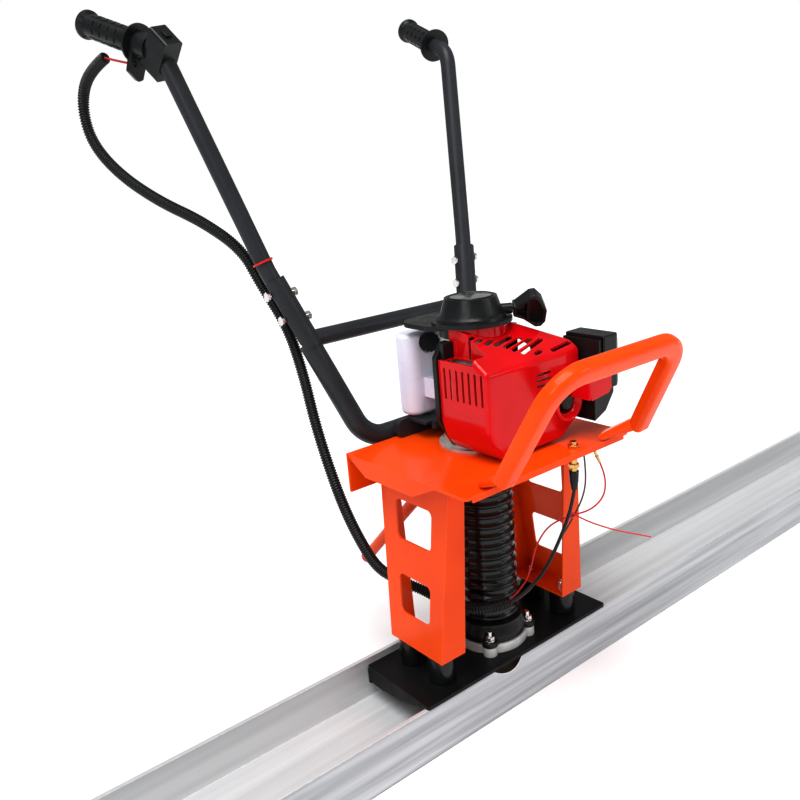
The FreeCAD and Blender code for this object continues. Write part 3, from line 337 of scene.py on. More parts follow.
def skin(node, width):
    """A copy of a CAD node with rounded edges, standing for it."""
    form = bmesh.new()
    form.from_mesh(NODES[node].data)
    bmesh.ops.remove_doubles(form, verts=form.verts, dist=MERGE_DISTANCE)
    bmesh.ops.dissolve_limit(form, angle_limit=FLAT_ANGLE, verts=form.verts, edges=form.edges)
    piece = from_bmesh(node + "_skin", form)
    if width:
        soften(piece, width, FINE_SEGMENTS if width < BROAD_ROUNDING else BROAD_SEGMENTS)
    else:
        smooth(piece)
    return stands_for(piece, node, finish_name=OWN_FINISH.get(node))


def blade_front(piece):
    """Gives the blade's sloping front its own brushed look, with painted shade: a darker colour on the faces
    that turn towards the front.
    """
    piece.data.materials.append(FINISHES["brushed_shaded_front"])
    for face in piece.data.polygons:
        if face.normal.y < BLADE_FRONT_FACING and face.center.y < BLADE_FRONT_Y:
            face.material_index = 1


def lathe(name, profile, around=96):
    """A closed ring about the upright axis, swept from (radius, height) points."""
    form = bmesh.new()
    rings = []
    for step in range(around):
        angle = 2 * math.pi * step / around
        rings.append([form.verts.new((r * math.cos(angle), r * math.sin(angle), z)) for r, z in profile])
    for step in range(around):
        first, second = rings[step], rings[(step + 1) % around]
        for k in range(len(profile)):
            after = (k + 1) % len(profile)
            form.faces.new((first[k], second[k], second[after], first[after]))
    bmesh.ops.recalc_face_normals(form, faces=form.faces)
    return from_bmesh(name, form)


# ---- camera, floor and light ----------------------------------------------------------

FLOOR_REACH = 12
FLOOR_DROP = 0.0006
ROOM_LIGHT = 0.40
BACKDROP_LIGHT = 1.0
WHITE = (1, 1, 1, 1)
SUN_POWER = 3.0
SUN_SOFTNESS = math.radians(40)
SUN_FROM = Vector((-0.30, -0.18, 1.0))
LAMP_TARGET = (0, 0, 0.4)
LAMP_SIZE = 1.2
LAMPS = {"key": ((-2.4, -1.0, 2.2), 22), "fill": ((1.6, -2.6, 1.4), 14)}
DISPLAY_GAMMA = 0.80


def camera():
    forward = Vector((-math.sin(CAMERA_YAW) * math.cos(CAMERA_PITCH),
                      math.cos(CAMERA_YAW) * math.cos(CAMERA_PITCH), math.sin(CAMERA_PITCH)))
    level = forward.cross(Vector((0, 0, 1))).normalized()
    upright = level.cross(forward)
    right = level * math.cos(CAMERA_ROLL) + upright * math.sin(CAMERA_ROLL)
    top = upright * math.cos(CAMERA_ROLL) - level * math.sin(CAMERA_ROLL)
    data = bpy.data.cameras.new("camera")
    data.lens = CAMERA_LENS
    data.sensor_width = SENSOR_WIDTH
    data.clip_start = NEAREST_SEEN
    eye = link("camera", data)
    turn = Matrix((right, top, -forward)).transposed()
    eye.matrix_world = Matrix.Translation(CAMERA_PLACE) @ turn.to_4x4()
    bpy.context.scene.camera = eye


def area_light(name, place, watts):
    """A round soft lamp turned towards the machine."""
    data = bpy.data.lights.new(name, "AREA")
    data.shape = "DISK"
    data.size = LAMP_SIZE
    data.energy = watts
    lamp = link(name, data)
    lamp.location = place
    lamp.rotation_mode = "QUATERNION"
    lamp.rotation_quaternion = (Vector(place) - Vector(LAMP_TARGET)).to_track_quat("Z", "Y")


def room():
    """Even soft light all round, and a plain white backdrop that only the camera sees."""
    world = bpy.data.worlds.new("soft_studio")
    bpy.context.scene.world = world
    world.use_nodes = True
    tree = world.node_tree
    light = tree.nodes["Background"]
    light.inputs["Color"].default_value = WHITE
    light.inputs["Strength"].default_value = ROOM_LIGHT
    backdrop = tree.nodes.new("ShaderNodeBackground")
    backdrop.inputs["Color"].default_value = WHITE
    backdrop.inputs["Strength"].default_value = BACKDROP_LIGHT
    seen = tree.nodes.new("ShaderNodeLightPath")
    choose = tree.nodes.new("ShaderNodeMixShader")
    tree.links.new(seen.outputs["Is Camera Ray"], choose.inputs["Fac"])
    tree.links.new(light.outputs["Background"], choose.inputs[1])
    tree.links.new(backdrop.outputs["Background"], choose.inputs[2])
    tree.links.new(choose.outputs["Shader"], tree.nodes["World Output"].inputs["Surface"])


def studio():
    form = bmesh.new()
    bmesh.ops.create_grid(form, x_segments=4, y_segments=4, size=FLOOR_REACH)
    floor = from_bmesh("floor", form)
    floor.location.z = -FLOOR_DROP
    floor.data.materials.append(finish("pale_floor", (0.93, 0.93, 0.93), (0.90, 0.90, 0.91), 0.8, patch=0.8,
                                       grain=60, height=0.0002))
    room()
    sun = bpy.data.lights.new("soft_sun", "SUN")
    sun.energy = SUN_POWER
    sun.angle = SUN_SOFTNESS
    lamp = link("soft_sun", sun)
    lamp.rotation_mode = "QUATERNION"
    lamp.rotation_quaternion = SUN_FROM.to_track_quat("Z", "Y")
    for name, (place, watts) in LAMPS.items():
        area_light(name, place, watts)
    bpy.context.scene.view_settings.view_transform = "Standard"
    bpy.context.scene.view_settings.gamma = DISPLAY_GAMMA


# ---- cords ----------------------------------------------------------------------------

RIB_PITCH = 0.0040
RIB_DEPTH = 0.0015
# How far out each ring of one rib stands, as a share of the rib's depth.
RIB_SHAPE = [0.0, 0.2, 0.8, 1.0, 1.0, 0.8, 0.2, 0.0]


def route_curve(name, route, radius=0.0):
    """A curve through a route's control points, round in section if it has a radius."""
    data = bpy.data.curves.new(name, "CURVE")
    data.dimensions = "3D"
    data.resolution_u = 24
    data.bevel_depth = radius
    data.bevel_resolution = 5
    data.use_fill_caps = True
    line = data.splines.new("NURBS")
    line.points.add(len(route) - 1)
    for point, place in zip(line.points, route):
        point.co = (*place, 1)
    line.order_u = 3
    line.use_endpoint_u = True
    return link(name, data)


def route_points(name, route):
    """The points of the route's own spline, in order."""
    curve = route_curve(name + "_line", route)
    graph = bpy.context.evaluated_depsgraph_get()
    line = bpy.data.meshes.new_from_object(curve.evaluated_get(graph))
    points = [vertex.co.copy() for vertex in line.vertices]
    bpy.data.objects.remove(curve)
    return points


def run_length(points):
    return sum((b - a).length for a, b in zip(points, points[1:]))


def evenly(points, step):
    """Points a fixed step apart along a line of points, for the rings of a mesh tube."""
    spaced = [points[0]]
    carried = 0.0
    for a, b in zip(points, points[1:]):
        span = (b - a).length
        along = step - carried
        while along <= span:
            spaced.append(a.lerp(b, along / span))
            along += step
        carried = span - (along - step)
    return spaced


def tube_along(name, points, radius_at, around=20):
    """A closed mesh tube whose rings follow the points; radius_at gives each ring's radius."""
    form = bmesh.new()
    rings = []
    side = Vector((0, 0, 1)).cross(points[1] - points[0]).normalized()
    for k, point in enumerate(points):
        way = (points[min(k + 1, len(points) - 1)] - points[max(k - 1, 0)]).normalized()
        side = (side - way * side.dot(way)).normalized()
        up = way.cross(side)
        radius = radius_at(k)
        rings.append([form.verts.new(point + side * (radius * math.cos(2 * math.pi * j / around))
                                     + up * (radius * math.sin(2 * math.pi * j / around)))
                      for j in range(around)])
    for first, second in zip(rings, rings[1:]):
        for j in range(around):
            after = (j + 1) % around
            form.faces.new((first[j], first[after], second[after], second[j]))
    form.faces.new(list(reversed(rings[0])))
    form.faces.new(rings[-1])
    return smooth(from_bmesh(name, form), 60)


def conduit():
    """The corrugated sleeve: a rib every few millimetres along the route."""
    steps = len(RIB_SHAPE)
    points = evenly(route_points("conduit", CONDUIT_ROUTE), RIB_PITCH / steps)
    tube = tube_along("conduit_sleeve", points,
                      lambda k: CONDUIT_RADIUS - RIB_DEPTH + RIB_DEPTH * RIB_SHAPE[k % steps])
    stands_for(tube, "conduit")


def lead(node, route, radius):
    """A plain cable or wire along its own spline, through both ends of its route."""
    curve = route_curve(node + "_lead", route, radius)
    stands_for(curve, node)
    run_length(route_points(node, route))


def cords():
    conduit()
    lead("throttle_cable", CABLE_ROUTE, CABLE_RADIUS)
    lead("stop_wire", STOP_ROUTE, WIRE_RADIUS)
    lead("ground_wire", GROUND_ROUTE, WIRE_RADIUS)
    lead("switch_lead", SWITCH_ROUTE, SWITCH_LEAD_RADIUS)


# ---- bellows --------------------------------------------------------------------------

BELLOWS_RIBS = 16
BELLOWS_RIB_STEPS = 14
BELLOWS_BORE = 0.039
BELLOWS_VALLEY = 0.0420
BELLOWS_RIB_DEPTH = 0.0040
BELLOWS_RIB_SHARPNESS = 2.2
BELLOWS_RIM_HEIGHT = 0.008
# The rim's outside, as radius and height above the last rib.
BELLOWS_RIM = [(0.0435, 0), (0.0515, 0.0006), (0.052, 0.002)]
BELLOWS_RIM_RADIUS = 0.052


def bellows():
    """The ribbed sleeve over the drive shaft."""
    low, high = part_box("bellows")
    steps = BELLOWS_RIB_STEPS
    top = high.z - BELLOWS_RIM_HEIGHT
    pitch = (top - low.z) / BELLOWS_RIBS
    outside = []
    for k in range(BELLOWS_RIBS * steps + 1):
        swell = 0.5 - 0.5 * math.cos(2 * math.pi * k / steps)
        outside.append((BELLOWS_VALLEY + BELLOWS_RIB_DEPTH * swell ** BELLOWS_RIB_SHARPNESS,
                        low.z + k * pitch / steps))
    outside += [(radius, top + height) for radius, height in BELLOWS_RIM]
    outside.append((BELLOWS_RIM_RADIUS, high.z))
    inside = [(BELLOWS_BORE, high.z), (BELLOWS_BORE, low.z)]
    piece = lathe("bellows_sleeve", outside + inside)
    stands_for(smooth(piece, 50), "bellows", finish_name=OWN_FINISH["bellows"])


# ---- engine cover ---------------------------------------------------------------------

COVER_FRONT = -0.100
COVER_REAR = -0.006
COVER_WALL = 0.0026
COVER_ROUNDING = 0.0075
COVER_BEVEL_SEGMENTS = 6
COVER_BEVEL_ANGLE = math.radians(20)
COVER_SOLID_BACK = 0.012
COVER_EDGE = 0.0006
COVER_SMOOTH = 40
COVER_OUTLINE = [(-0.047, 0.384), (0.070, 0.384), (0.097, 0.404), (0.112, 0.430), (0.112, 0.553),
                 (-0.072, 0.553), (-0.072, 0.430), (-0.064, 0.404)]
SLOPE_FOOT = 0.509
SLOPE_RISE = 0.65
# Planes that cut the cover's top into slopes, each a point and a normal.
COVER_CUTS = [((0, COVER_FRONT, SLOPE_FOOT), (0, -SLOPE_RISE, 1)), ((0.047, -0.033, 0.552), (0.7, 0.245, 1))]
SHELF_LOW = (-0.1, -0.074, 0.517)
SHELF_HIGH = (-0.046, 0.04, 0.6)
COLLAR_RADIUS = 0.050
COLLAR_LOW = 0.50
COLLAR_HIGH = 0.556
# The slots in the sloping top, from end to end as seen from above.
TOP_SLOTS = [((-0.044, -0.043), (-0.023, -0.039)), ((-0.040, -0.050), (-0.008, -0.045)),
             ((-0.029, -0.057), (0.004, -0.049)), ((-0.017, -0.062), (0.018, -0.056)),
             ((-0.005, -0.069), (0.032, -0.062)), ((0.003, -0.076), (0.046, -0.067)),
             ((0.013, -0.083), (0.062, -0.072)), ((0.062, -0.092), (0.102, -0.088)),
             ((0.031, -0.090), (0.043, -0.088))]
TOP_SLOT_WIDTH = 0.0062
TOP_SLOT_LOW = 0.49
TOP_SLOT_ABOVE = 0.0035
COLLAR_MARGIN = 0.0022
COLLAR_STEPS = 200
SIDE_SLOTS = 7
SIDE_SLOT_FIRST = -0.089
SIDE_SLOT_PITCH = 0.012
SIDE_SLOT_X = -0.064
SIDE_SLOT_LOW = 0.465
SIDE_SLOT_HIGH = 0.506
SIDE_SLOT_WIDTH = 0.0042
SLOT_REACH = 0.02
FRONT_SLOTS = 3
FRONT_SLOT_FIRST = 0.4717
FRONT_SLOT_PITCH = 0.008
FRONT_SLOT_LEFT = 0.022
FRONT_SLOT_RIGHT = 0.048
FRONT_SLOT_Y = -0.09
FRONT_SLOT_WIDTH = 0.0036
OUTLET_LOW = (-0.0685, -0.0725, 0.500)
OUTLET_HIGH = (-0.0475, -0.0155, 0.530)
OUTLET_CORNER = 0.003
BOSS_CENTRE = (0.078, 0.436)
BOSS_SINK = 0.002
BOSS_PROFILE = [(0.0270, 0), (0.0270, 0.007), (0.0262, 0.0090), (0.0245, 0.0100), (0.0225, 0.0098),
                (0.0180, 0.0020), (0.0165, -0.001), (0.0165, -0.008), (0.0190, -0.008), (0.0240, -0.001)]
MOUTH_WIDTH = 0.034
MOUTH_FROM = -0.08
MOUTH_REACH = 0.04
MOUTH_STEPS = 24
# A slot this long is as good as round.
ROUND_SLOT = 0.0001
WING_WALL = 0.003
WING_EDGE = 0.0010
WING_FRONT_Y = -0.139
WING_OUTLINE = [(0.084, 0.447), (0.088, 0.442), (0.124, 0.446), (0.130, 0.452), (0.130, 0.473),
                (0.126, 0.478), (0.088, 0.478), (0.084, 0.473)]
CHEEK_OUTLINE = [(-0.137, 0.443), (-0.096, 0.443), (-0.096, 0.477), (-0.137, 0.477)]
CHEEK_X = 0.084
ROOF_OUTLINE = [(0.085, -0.138), (0.112, -0.138), (0.112, -0.096), (0.085, -0.096)]
ROOF_Z = 0.4745
RIB_FROM = (-0.066, -0.0975, 0.5085)
RIB_TO = (-0.012, -0.0885, 0.5145)
RIB_WIDTH = 0.0036
RIB_RISE = (0, -0.0008, 0.0012)
RIB_EDGE = 0.0005


def prism_of(name, points, along):
    """A closed prism over a flat outline of 3D points."""
    form = bmesh.new()
    base = [form.verts.new(point) for point in points]
    top = [form.verts.new(Vector(point) + Vector(along)) for point in points]
    form.faces.new(base)
    form.faces.new(list(reversed(top)))
    for k in range(len(points)):
        after = (k + 1) % len(points)
        form.faces.new((base[after], base[k], top[k], top[after]))
    bmesh.ops.recalc_face_normals(form, faces=form.faces)
    return from_bmesh(name, form)


def block(name, low, high, bevel=0.0):
    """A box between two corners, rounded if it has a bevel."""
    corners = [(low[0], low[1], low[2]), (high[0], low[1], low[2]), (high[0], high[1], low[2]),
               (low[0], high[1], low[2])]
    piece = prism_of(name, corners, (0, 0, high[2] - low[2]))
    if bevel:
        edge = piece.modifiers.new("edge", "BEVEL")
        edge.width = bevel
        edge.segments = 3
        made_real(piece)
    return piece


def slot_form(name, start, end, width, along, steps=6):
    """A round-ended cutter between two points, pushed along a direction."""
    first, second, push = Vector(start), Vector(end), Vector(along)
    way = (second - first).normalized()
    across = push.cross(way).normalized()
    points = []
    for centre, sign in ((second, 1), (first, -1)):
        for k in range(steps + 1):
            angle = math.pi * k / steps - math.pi / 2
            points.append(centre + (way * math.cos(angle) + across * math.sin(angle)) * sign * width / 2)
    return prism_of(name, points, push)


def joined(name, pieces):
    """One piece made of several, whose own objects go."""
    form = bmesh.new()
    for piece in pieces:
        form.from_mesh(piece.data)
        bpy.data.objects.remove(piece)
    return from_bmesh(name, form)


def combine(piece, other, operation):
    """Cuts or adds another piece, which is used up."""
    change = piece.modifiers.new("cut", "BOOLEAN")
    change.operation = operation
    change.solver = "EXACT"
    change.object = other
    made_real(piece)
    bpy.data.objects.remove(other)
    return piece


def disc_form(name, radius, low, high, around=72):
    """An upright cylinder about the crank's axis."""
    points = []
    for k in range(around):
        angle = 2 * math.pi * k / around
        points.append((radius * math.cos(angle), radius * math.sin(angle), low))
    return prism_of(name, points, (0, 0, high - low))


def cover_body():
    """The cover's rounded outer form as a thin shell, open at the back."""
    outline = [(x, COVER_SOLID_BACK, z) for x, z in COVER_OUTLINE]
    body = prism_of("engine_cover", outline, (0, COVER_FRONT - COVER_SOLID_BACK, 0))
    form = bmesh.new()
    form.from_mesh(body.data)
    for place, normal in COVER_CUTS:
        everything = form.verts[:] + form.edges[:] + form.faces[:]
        cut = bmesh.ops.bisect_plane(form, geom=everything, plane_co=place, plane_no=normal, clear_outer=True)
        rim = [item for item in cut["geom_cut"] if isinstance(item, bmesh.types.BMEdge)]
        bmesh.ops.edgenet_fill(form, edges=rim)
    bmesh.ops.recalc_face_normals(form, faces=form.faces)
    form.to_mesh(body.data)
    form.free()
    edge = body.modifiers.new("edge", "BEVEL")
    edge.width = COVER_ROUNDING
    edge.segments = COVER_BEVEL_SEGMENTS
    edge.limit_method = "ANGLE"
    edge.angle_limit = COVER_BEVEL_ANGLE
    edge.use_clamp_overlap = False
    made_real(body)
    combine(body, block("shelf", SHELF_LOW, SHELF_HIGH), "DIFFERENCE")
    combine(body, disc_form("collar", COLLAR_RADIUS, COLLAR_LOW, COLLAR_HIGH), "UNION")
    form = bmesh.new()
    form.from_mesh(body.data)
    everything = form.verts[:] + form.edges[:] + form.faces[:]
    bmesh.ops.bisect_plane(form, geom=everything, plane_co=(0, COVER_REAR, 0), plane_no=(0, 1, 0),
                           clear_outer=True)
    form.to_mesh(body.data)
    form.free()
    wall = body.modifiers.new("wall", "SOLIDIFY")
    wall.thickness = COVER_WALL
    wall.offset = -1
    wall.use_even_offset = True
    return made_real(body)


def short_of_collar(start, end):
    """The slot's inner end, drawn back along the slot until it is clear of the collar."""
    nearest = COLLAR_RADIUS + TOP_SLOT_WIDTH / 2 + COLLAR_MARGIN
    for k in range(COLLAR_STEPS):
        point = Vector(end).lerp(Vector(start), k / COLLAR_STEPS)
        if point.length >= nearest:
            return (point.x, point.y)
    return start


def cover_openings():
    """Every slot and hole of the cover, as one cutter each."""
    cutters = []
    for k in range(SIDE_SLOTS):
        y = SIDE_SLOT_FIRST + SIDE_SLOT_PITCH * k
        cutters.append(slot_form("slot", (SIDE_SLOT_X, y, SIDE_SLOT_LOW), (SIDE_SLOT_X, y, SIDE_SLOT_HIGH),
                                 SIDE_SLOT_WIDTH, (-SLOT_REACH, 0, 0)))
    for start, end in TOP_SLOTS:
        end = short_of_collar(start, end)
        top = SLOPE_FOOT + SLOPE_RISE * (max(start[1], end[1]) - COVER_FRONT) + TOP_SLOT_ABOVE
        cutters.append(slot_form("slot", (*start, TOP_SLOT_LOW), (*end, TOP_SLOT_LOW), TOP_SLOT_WIDTH,
                                 (0, 0, top - TOP_SLOT_LOW)))
    for k in range(FRONT_SLOTS):
        z = FRONT_SLOT_FIRST + FRONT_SLOT_PITCH * k
        cutters.append(slot_form("slot", (FRONT_SLOT_LEFT, FRONT_SLOT_Y, z),
                                 (FRONT_SLOT_RIGHT, FRONT_SLOT_Y, z), FRONT_SLOT_WIDTH, (0, -SLOT_REACH, 0)))
    cutters.append(block("outlet", OUTLET_LOW, OUTLET_HIGH, OUTLET_CORNER))
    return cutters


def plug_mouth():
    """The cutter that opens the cover behind the boss."""
    x, z = BOSS_CENTRE
    return slot_form("mouth", (x, MOUTH_FROM, z), (x + ROUND_SLOT, MOUTH_FROM, z), MOUTH_WIDTH,
                     (0, -MOUTH_REACH, 0), MOUTH_STEPS)


def boss_ring():
    """The round mouth in front of the plug boot, with a funnel inside."""
    ring = lathe("plug_mouth", BOSS_PROFILE, 64)
    turn = Matrix(((1, 0, 0), (0, 0, -1), (0, 1, 0))).to_4x4()
    ring.data.transform(Matrix.Translation((BOSS_CENTRE[0], COVER_FRONT + BOSS_SINK, BOSS_CENTRE[1])) @ turn)
    return smooth(ring, COVER_SMOOTH)


def wing_panel():
    """The right-hand panel in front of the air cleaner."""
    front = prism_of("wing", [(x, WING_FRONT_Y, z) for x, z in WING_OUTLINE], (0, WING_WALL, 0))
    side = prism_of("wing_side", [(CHEEK_X, y, z) for y, z in CHEEK_OUTLINE], (WING_WALL, 0, 0))
    roof = prism_of("wing_roof", [(x, y, ROOF_Z) for x, y in ROOF_OUTLINE], (0, 0, WING_WALL))
    return soften(joined("wing_panel", [front, side, roof]), WING_EDGE)


def engine_cover():
    """The red cover with its openings, boss, wing and rib, as one piece."""
    body = cover_body()
    combine(body, plug_mouth(), "DIFFERENCE")
    for opening in cover_openings():
        combine(body, opening, "DIFFERENCE")
    soften(body, COVER_EDGE, 2, COVER_SMOOTH)
    rib = soften(slot_form("rib", RIB_FROM, RIB_TO, RIB_WIDTH, RIB_RISE), RIB_EDGE)
    piece = joined("engine_cover_shell", [body, boss_ring(), wing_panel(), rib])
    smooth(piece, COVER_SMOOTH)
    stands_for(piece, "fan_shroud")


# ---- front handle ---------------------------------------------------------------------

HANDLE_FOOT = Vector((0.131, -0.182, 0.404))
HANDLE_TOP = Vector((0.114, -0.257, 0.538))
HANDLE_ROOT = Vector((0.113, -0.136, 0.3848))
HANDLE_BEND = 0.046
HANDLE_WIDE = 0.0147
HANDLE_THICK = 0.0105
HANDLE_CORNER = 0.0078
SECTION_STEPS = 9
FOOT_STEPS = 8
FOOT_UP = 0.009
FOOT_OUT = 0.004
# Half width, half thickness and corner radius at the foot's upper end, and their change down to its root.
FOOT_SECTION = (0.0105, 0.0095, 0.0080)
FOOT_CHANGE = (0.0040, -0.0050, -0.0048)


def rounded_box(wide, thick, radius):
    """Points round a flattened tube's section, as distances along and across it."""
    points = []
    for quarter, (sx, sy) in enumerate([(1, 1), (-1, 1), (-1, -1), (1, -1)]):
        for k in range(SECTION_STEPS):
            angle = math.pi / 2 * (quarter + k / (SECTION_STEPS - 1))
            points.append((sx * (wide - radius) + radius * math.cos(angle),
                           sy * (thick - radius) + radius * math.sin(angle)))
    return points


def bend(corner, before, after, radius, steps=14):
    """Points of an arc that rounds a corner."""
    first, second = (before - corner).normalized(), (after - corner).normalized()
    half = first.angle(second) / 2
    reach = radius / math.tan(half)
    middle = corner + (first + second).normalized() * (radius / math.sin(half))
    start, end = corner + first * reach - middle, corner + second * reach - middle
    sweep = start.angle(end)
    return [middle + (start * math.sin(sweep * (1 - k / steps)) + end * math.sin(sweep * k / steps))
            / math.sin(sweep) for k in range(steps + 1)]


def swept(name, places, normals, sizes):
    """A tube with a rounded-box section, whose half width, half thickness and corner may change."""
    form = bmesh.new()
    rings = []
    for k, (place, normal) in enumerate(zip(places, normals)):
        way = (places[min(k + 1, len(places) - 1)] - places[max(k - 1, 0)]).normalized()
        out = (normal - way * normal.dot(way)).normalized()
        side = way.cross(out)
        rings.append([form.verts.new(place + side * a + out * b) for a, b in rounded_box(*sizes[k])])
    for first, second in zip(rings, rings[1:]):
        for j in range(len(first)):
            after = (j + 1) % len(first)
            form.faces.new((first[j], first[after], second[after], second[j]))
    form.faces.new(list(reversed(rings[0])))
    form.faces.new(rings[-1])
    bmesh.ops.recalc_face_normals(form, faces=form.faces)
    return from_bmesh(name, form)


def front_handle():
    """The carrying loop, flattened in section, whose feet are pressed flat along the deck's front."""
    flip = Vector((-1, 1, 1))
    corners = [HANDLE_FOOT * flip, HANDLE_TOP * flip, HANDLE_TOP, HANDLE_FOOT]
    places = [corners[0]]
    places += bend(corners[1], corners[0], corners[2], HANDLE_BEND)
    places += bend(corners[2], corners[1], corners[3], HANDLE_BEND)
    places.append(corners[3])
    normal = Vector((0, HANDLE_TOP.y - HANDLE_FOOT.y, HANDLE_TOP.z - HANDLE_FOOT.z)).cross((1, 0, 0))
    section = (HANDLE_WIDE, HANDLE_THICK, HANDLE_CORNER)
    pieces = [swept("loop", places, [normal] * len(places), [section] * len(places))]
    rise = (HANDLE_TOP - HANDLE_FOOT).normalized()
    start = HANDLE_FOOT + rise * FOOT_UP + (HANDLE_FOOT - HANDLE_ROOT).normalized() * FOOT_OUT
    sizes = [tuple(size + change * k / FOOT_STEPS for size, change in zip(FOOT_SECTION, FOOT_CHANGE))
             for k in range(FOOT_STEPS + 1)]
    for sign in (-1, 1):
        mirror = Vector((sign, 1, 1))
        line = [start.lerp(HANDLE_ROOT, k / FOOT_STEPS) * mirror for k in range(FOOT_STEPS + 1)]
        pieces.append(swept("foot", line, [Vector((0, 0, 1))] * len(line), sizes))
    stands_for(smooth(joined("front_handle_tube", pieces), 34), "front_handle")


# ---- starter, tie tail, wire connectors and recoil badge --------------------------------

PULL_START = Vector((0, 0, 0.571))
PULL_WAY = Vector((0.8, -0.6, 0))
BAR_WAY = Vector((-0.3, -0.4, 0.85)).normalized()
GRIP_REACH = 0.0585
GRIP_THICK = 0.018
# The grip's side view: millimetres along the pull and along the bar.
GRIP_OUTLINE = [(0, 8), (3, 8), (22, 25), (30, 26), (40, 14), (47, -4), (46, -24), (40, -32), (32, -32),
                (14, -16), (0, -9)]
GRIP_HOLLOWS = [[(4, 4.5), (14, 12.5), (18.5, 14), (18.5, -15), (15, -12.5), (4, -6)],
                [(22, 19), (28.5, 21), (36, 12), (42.5, -5), (41.5, -22), (37.5, -27.5), (33, -27.5),
                 (22, -18)]]
GRIP_FLOOR = 0.0005
GRIP_EDGE = 0.0030
HOLE_WIDTH = 0.008
# The hole's two ends, in millimetres as above, and how far its cutter starts behind and reaches.
HOLE_FROM = (10.5, 1)
HOLE_TO = (12.5, 2)
HOLE_BEHIND = 0.02
HOLE_REACH = 0.04
ROPE_RINGS = 90
ROPE_FROM = 0.0365
ROPE_TO = 0.0700
ROPE_RADIUS = 0.0018
ROPE_BRAID = 0.0002
ROPE_BRAID_TURN = 1.2


def grip_place(side, out):
    """A place on the grip, from its side view in millimetres and a distance out of that view."""
    out_way = PULL_WAY.cross(BAR_WAY)
    return PULL_START + PULL_WAY * (GRIP_REACH + side[0] / 1000) + BAR_WAY * (side[1] / 1000) + out_way * out


def starter_grip():
    """The moulded pull: a rim and a rib around two hollows, with a hole through one."""
    out_way = PULL_WAY.cross(BAR_WAY)
    points = [grip_place(side, -GRIP_THICK / 2) for side in GRIP_OUTLINE]
    piece = soften(prism_of("starter_pull", points, out_way * GRIP_THICK), GRIP_EDGE, 4, 30)
    for outline in GRIP_HOLLOWS:
        edge = [grip_place(side, GRIP_FLOOR) for side in outline]
        combine(piece, prism_of("hollow", edge, out_way * GRIP_THICK), "DIFFERENCE")
    hole = slot_form("hole", grip_place(HOLE_FROM, -HOLE_BEHIND), grip_place(HOLE_TO, -HOLE_BEHIND),
                     HOLE_WIDTH, out_way * HOLE_REACH)
    combine(piece, hole, "DIFFERENCE")
    stands_for(smooth(piece), "starter_grip")


def starter_rope():
    """The pull rope, from the recoil cover out to the grip."""
    first, last = PULL_START + PULL_WAY * ROPE_FROM, PULL_START + PULL_WAY * ROPE_TO
    points = [first.lerp(last, k / ROPE_RINGS) for k in range(ROPE_RINGS + 1)]
    piece = tube_along("pull_rope", points,
                       lambda k: ROPE_RADIUS + ROPE_BRAID * math.cos(k * ROPE_BRAID_TURN), 12)
    dressed(piece, SLOT["starter_rope"])
    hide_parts("starter_rope")
    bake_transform(piece)


TAIL_ROUTE = [(0.0545, -0.1240, 0.2830), (0.0580, -0.1390, 0.2755), (0.0790, -0.1720, 0.2630),
              (0.0950, -0.1940, 0.2580), (0.1130, -0.2180, 0.2530)]
TAIL_STEP = 0.002
TAIL_SIDE = Vector((0.5, 0.6, 0.6))
TAIL_HALF_WIDTH = 0.0012
TAIL_HALF_THICK = 0.0005
CONNECTOR_PLACE = Vector((0.100, -0.136, 0.358))
CONNECTOR_PROFILE = [(0.0014, -0.011), (0.0020, -0.0105), (0.0020, -0.002), (0.0026, -0.0015),
                     (0.0026, 0.0015), (0.0019, 0.002), (0.0019, 0.0095), (0.0014, 0.0105),
                     (0.0009, 0.0105), (0.0009, -0.011)]
# The ring's and the disc's sections, as radius and height above the recoil cover's top.
RING_PROFILE = [(0.0330, -0.001), (0.0330, 0.0006), (0.0322, 0.0014), (0.0308, 0.0014), (0.0300, 0.0006),
                (0.0300, -0.001)]
DISC_PROFILE = [(0.0292, -0.001), (0.0292, 0.0004), (0.0286, 0.0008), (0.0020, 0.0010), (0.0020, -0.001)]
SMALL_SMOOTH = 40


def tie_tail():
    """The long uncut end of the red cable tie on the throttle cable."""
    points = evenly(route_points("tie_tail", TAIL_ROUTE), TAIL_STEP)
    form = bmesh.new()
    rows = []
    for k, point in enumerate(points):
        way = (points[min(k + 1, len(points) - 1)] - points[max(k - 1, 0)]).normalized()
        flat = way.cross(TAIL_SIDE).normalized() * TAIL_HALF_WIDTH
        thick = way.cross(flat).normalized() * TAIL_HALF_THICK
        rows.append([form.verts.new(point + flat + thick), form.verts.new(point - flat + thick),
                     form.verts.new(point - flat - thick), form.verts.new(point + flat - thick)])
    for first, second in zip(rows, rows[1:]):
        for j in range(4):
            form.faces.new((first[j], first[(j + 1) % 4], second[(j + 1) % 4], second[j]))
    form.faces.new(list(reversed(rows[0])))
    form.faces.new(rows[-1])
    piece = smooth(from_bmesh("tie_tail", form), 30)
    dressed(piece, SLOT["cable_ties"])
    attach(piece, BODY["cable_ties"])


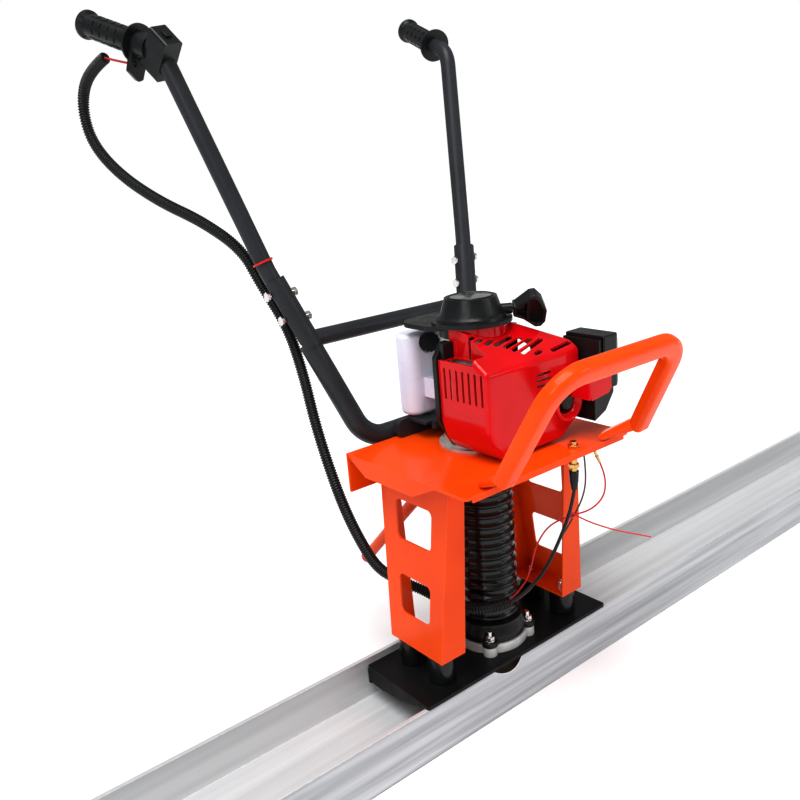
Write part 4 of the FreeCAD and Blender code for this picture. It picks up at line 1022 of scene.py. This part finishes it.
def wire_connectors():
    """Two plated bullet connectors pushed together in the stop wire's loop."""
    points = route_points("stop_run", STOP_ROUTE)
    near = min(range(len(points)), key=lambda k: (points[k] - CONNECTOR_PLACE).length)
    way = (points[near + 3] - points[near - 3]).normalized()
    turn = Vector((0, 0, 1)).rotation_difference(way).to_matrix().to_4x4()
    piece = lathe("bullet_connectors", CONNECTOR_PROFILE, 24)
    piece.data.transform(Matrix.Translation(points[near]) @ turn)
    smooth(piece, SMALL_SMOOTH)
    dressed(piece, SLOT["cable_adjuster"])
    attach(piece, BODY["stop_wire"])


def recoil_badge():
    """A plain disc set into the top of the recoil cover, inside a raised ring."""
    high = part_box("recoil_cover")[1].z
    parts = [("recoil_ring", RING_PROFILE, None), ("recoil_disc", DISC_PROFILE, "zinc_steel")]
    for name, profile, finish_name in parts:
        piece = lathe(name, [(radius, high + above) for radius, above in profile])
        smooth(piece, SMALL_SMOOTH)
        dressed(piece, SLOT["recoil_cover"], finish_name)
        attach(piece, BODY["recoil_cover"])


# ---- the CAD pieces with rounded edges, and how far each is rounded -----------------------

SKINS = {
    "blade": 0.0005, "base_plate": 0.0008, "exciter_housing": 0.0012, "exciter_flange": 0.0012,
    "bellows_clamp": 0.0010, "flange_bolts": 0.0006, "rubber_mounts": 0.0008, "column_left": 0.0010,
    "column_right": 0.0010, "deck": 0.0014, "handle_frame": 0.0006, "crossbar": 0,
    "upper_bar_left": 0, "upper_bar_right": 0, "frame_bolts": 0.0006, "grip_left": 0.0007,
    "grip_right": 0.0007, "throttle_housing": 0.0012, "throttle_lever": 0.0010, "stop_button": 0.0006,
    "plug_boot": 0.0010, "muffler": 0.0010, "muffler_guard": 0.0003, "shroud_liner": 0.0012,
    "recoil_cover": 0.0012, "fuel_tank": 0.0010, "fuel_cap": 0.0006,
    "tank_guard": 0.0012, "carburettor": 0.0008, "throttle_arm": 0.0003, "air_cleaner_base": 0.0030,
    "air_cleaner_cover": 0.0060, "stand_bracket": 0.0008, "kick_stand": 0.0006, "stand_cap": 0.0008,
    "cable_adjuster": 0.0005, "cable_ties": 0.0003, "crankcase": 0.0014, "cylinder": 0.0005,
}


camera()
studio()
cords()
bellows()
for node, width in SKINS.items():
    skin(node, width)
blade_front(bpy.data.objects["blade_skin"])
front_handle()
engine_cover()
starter_grip()
starter_rope()
tie_tail()
wire_connectors()
recoil_badge()
for name, node in NODES.items():
    if name not in SKINS:
        node.data.materials.clear()
        node.data.materials.append(FINISHES[SLOT[name]])
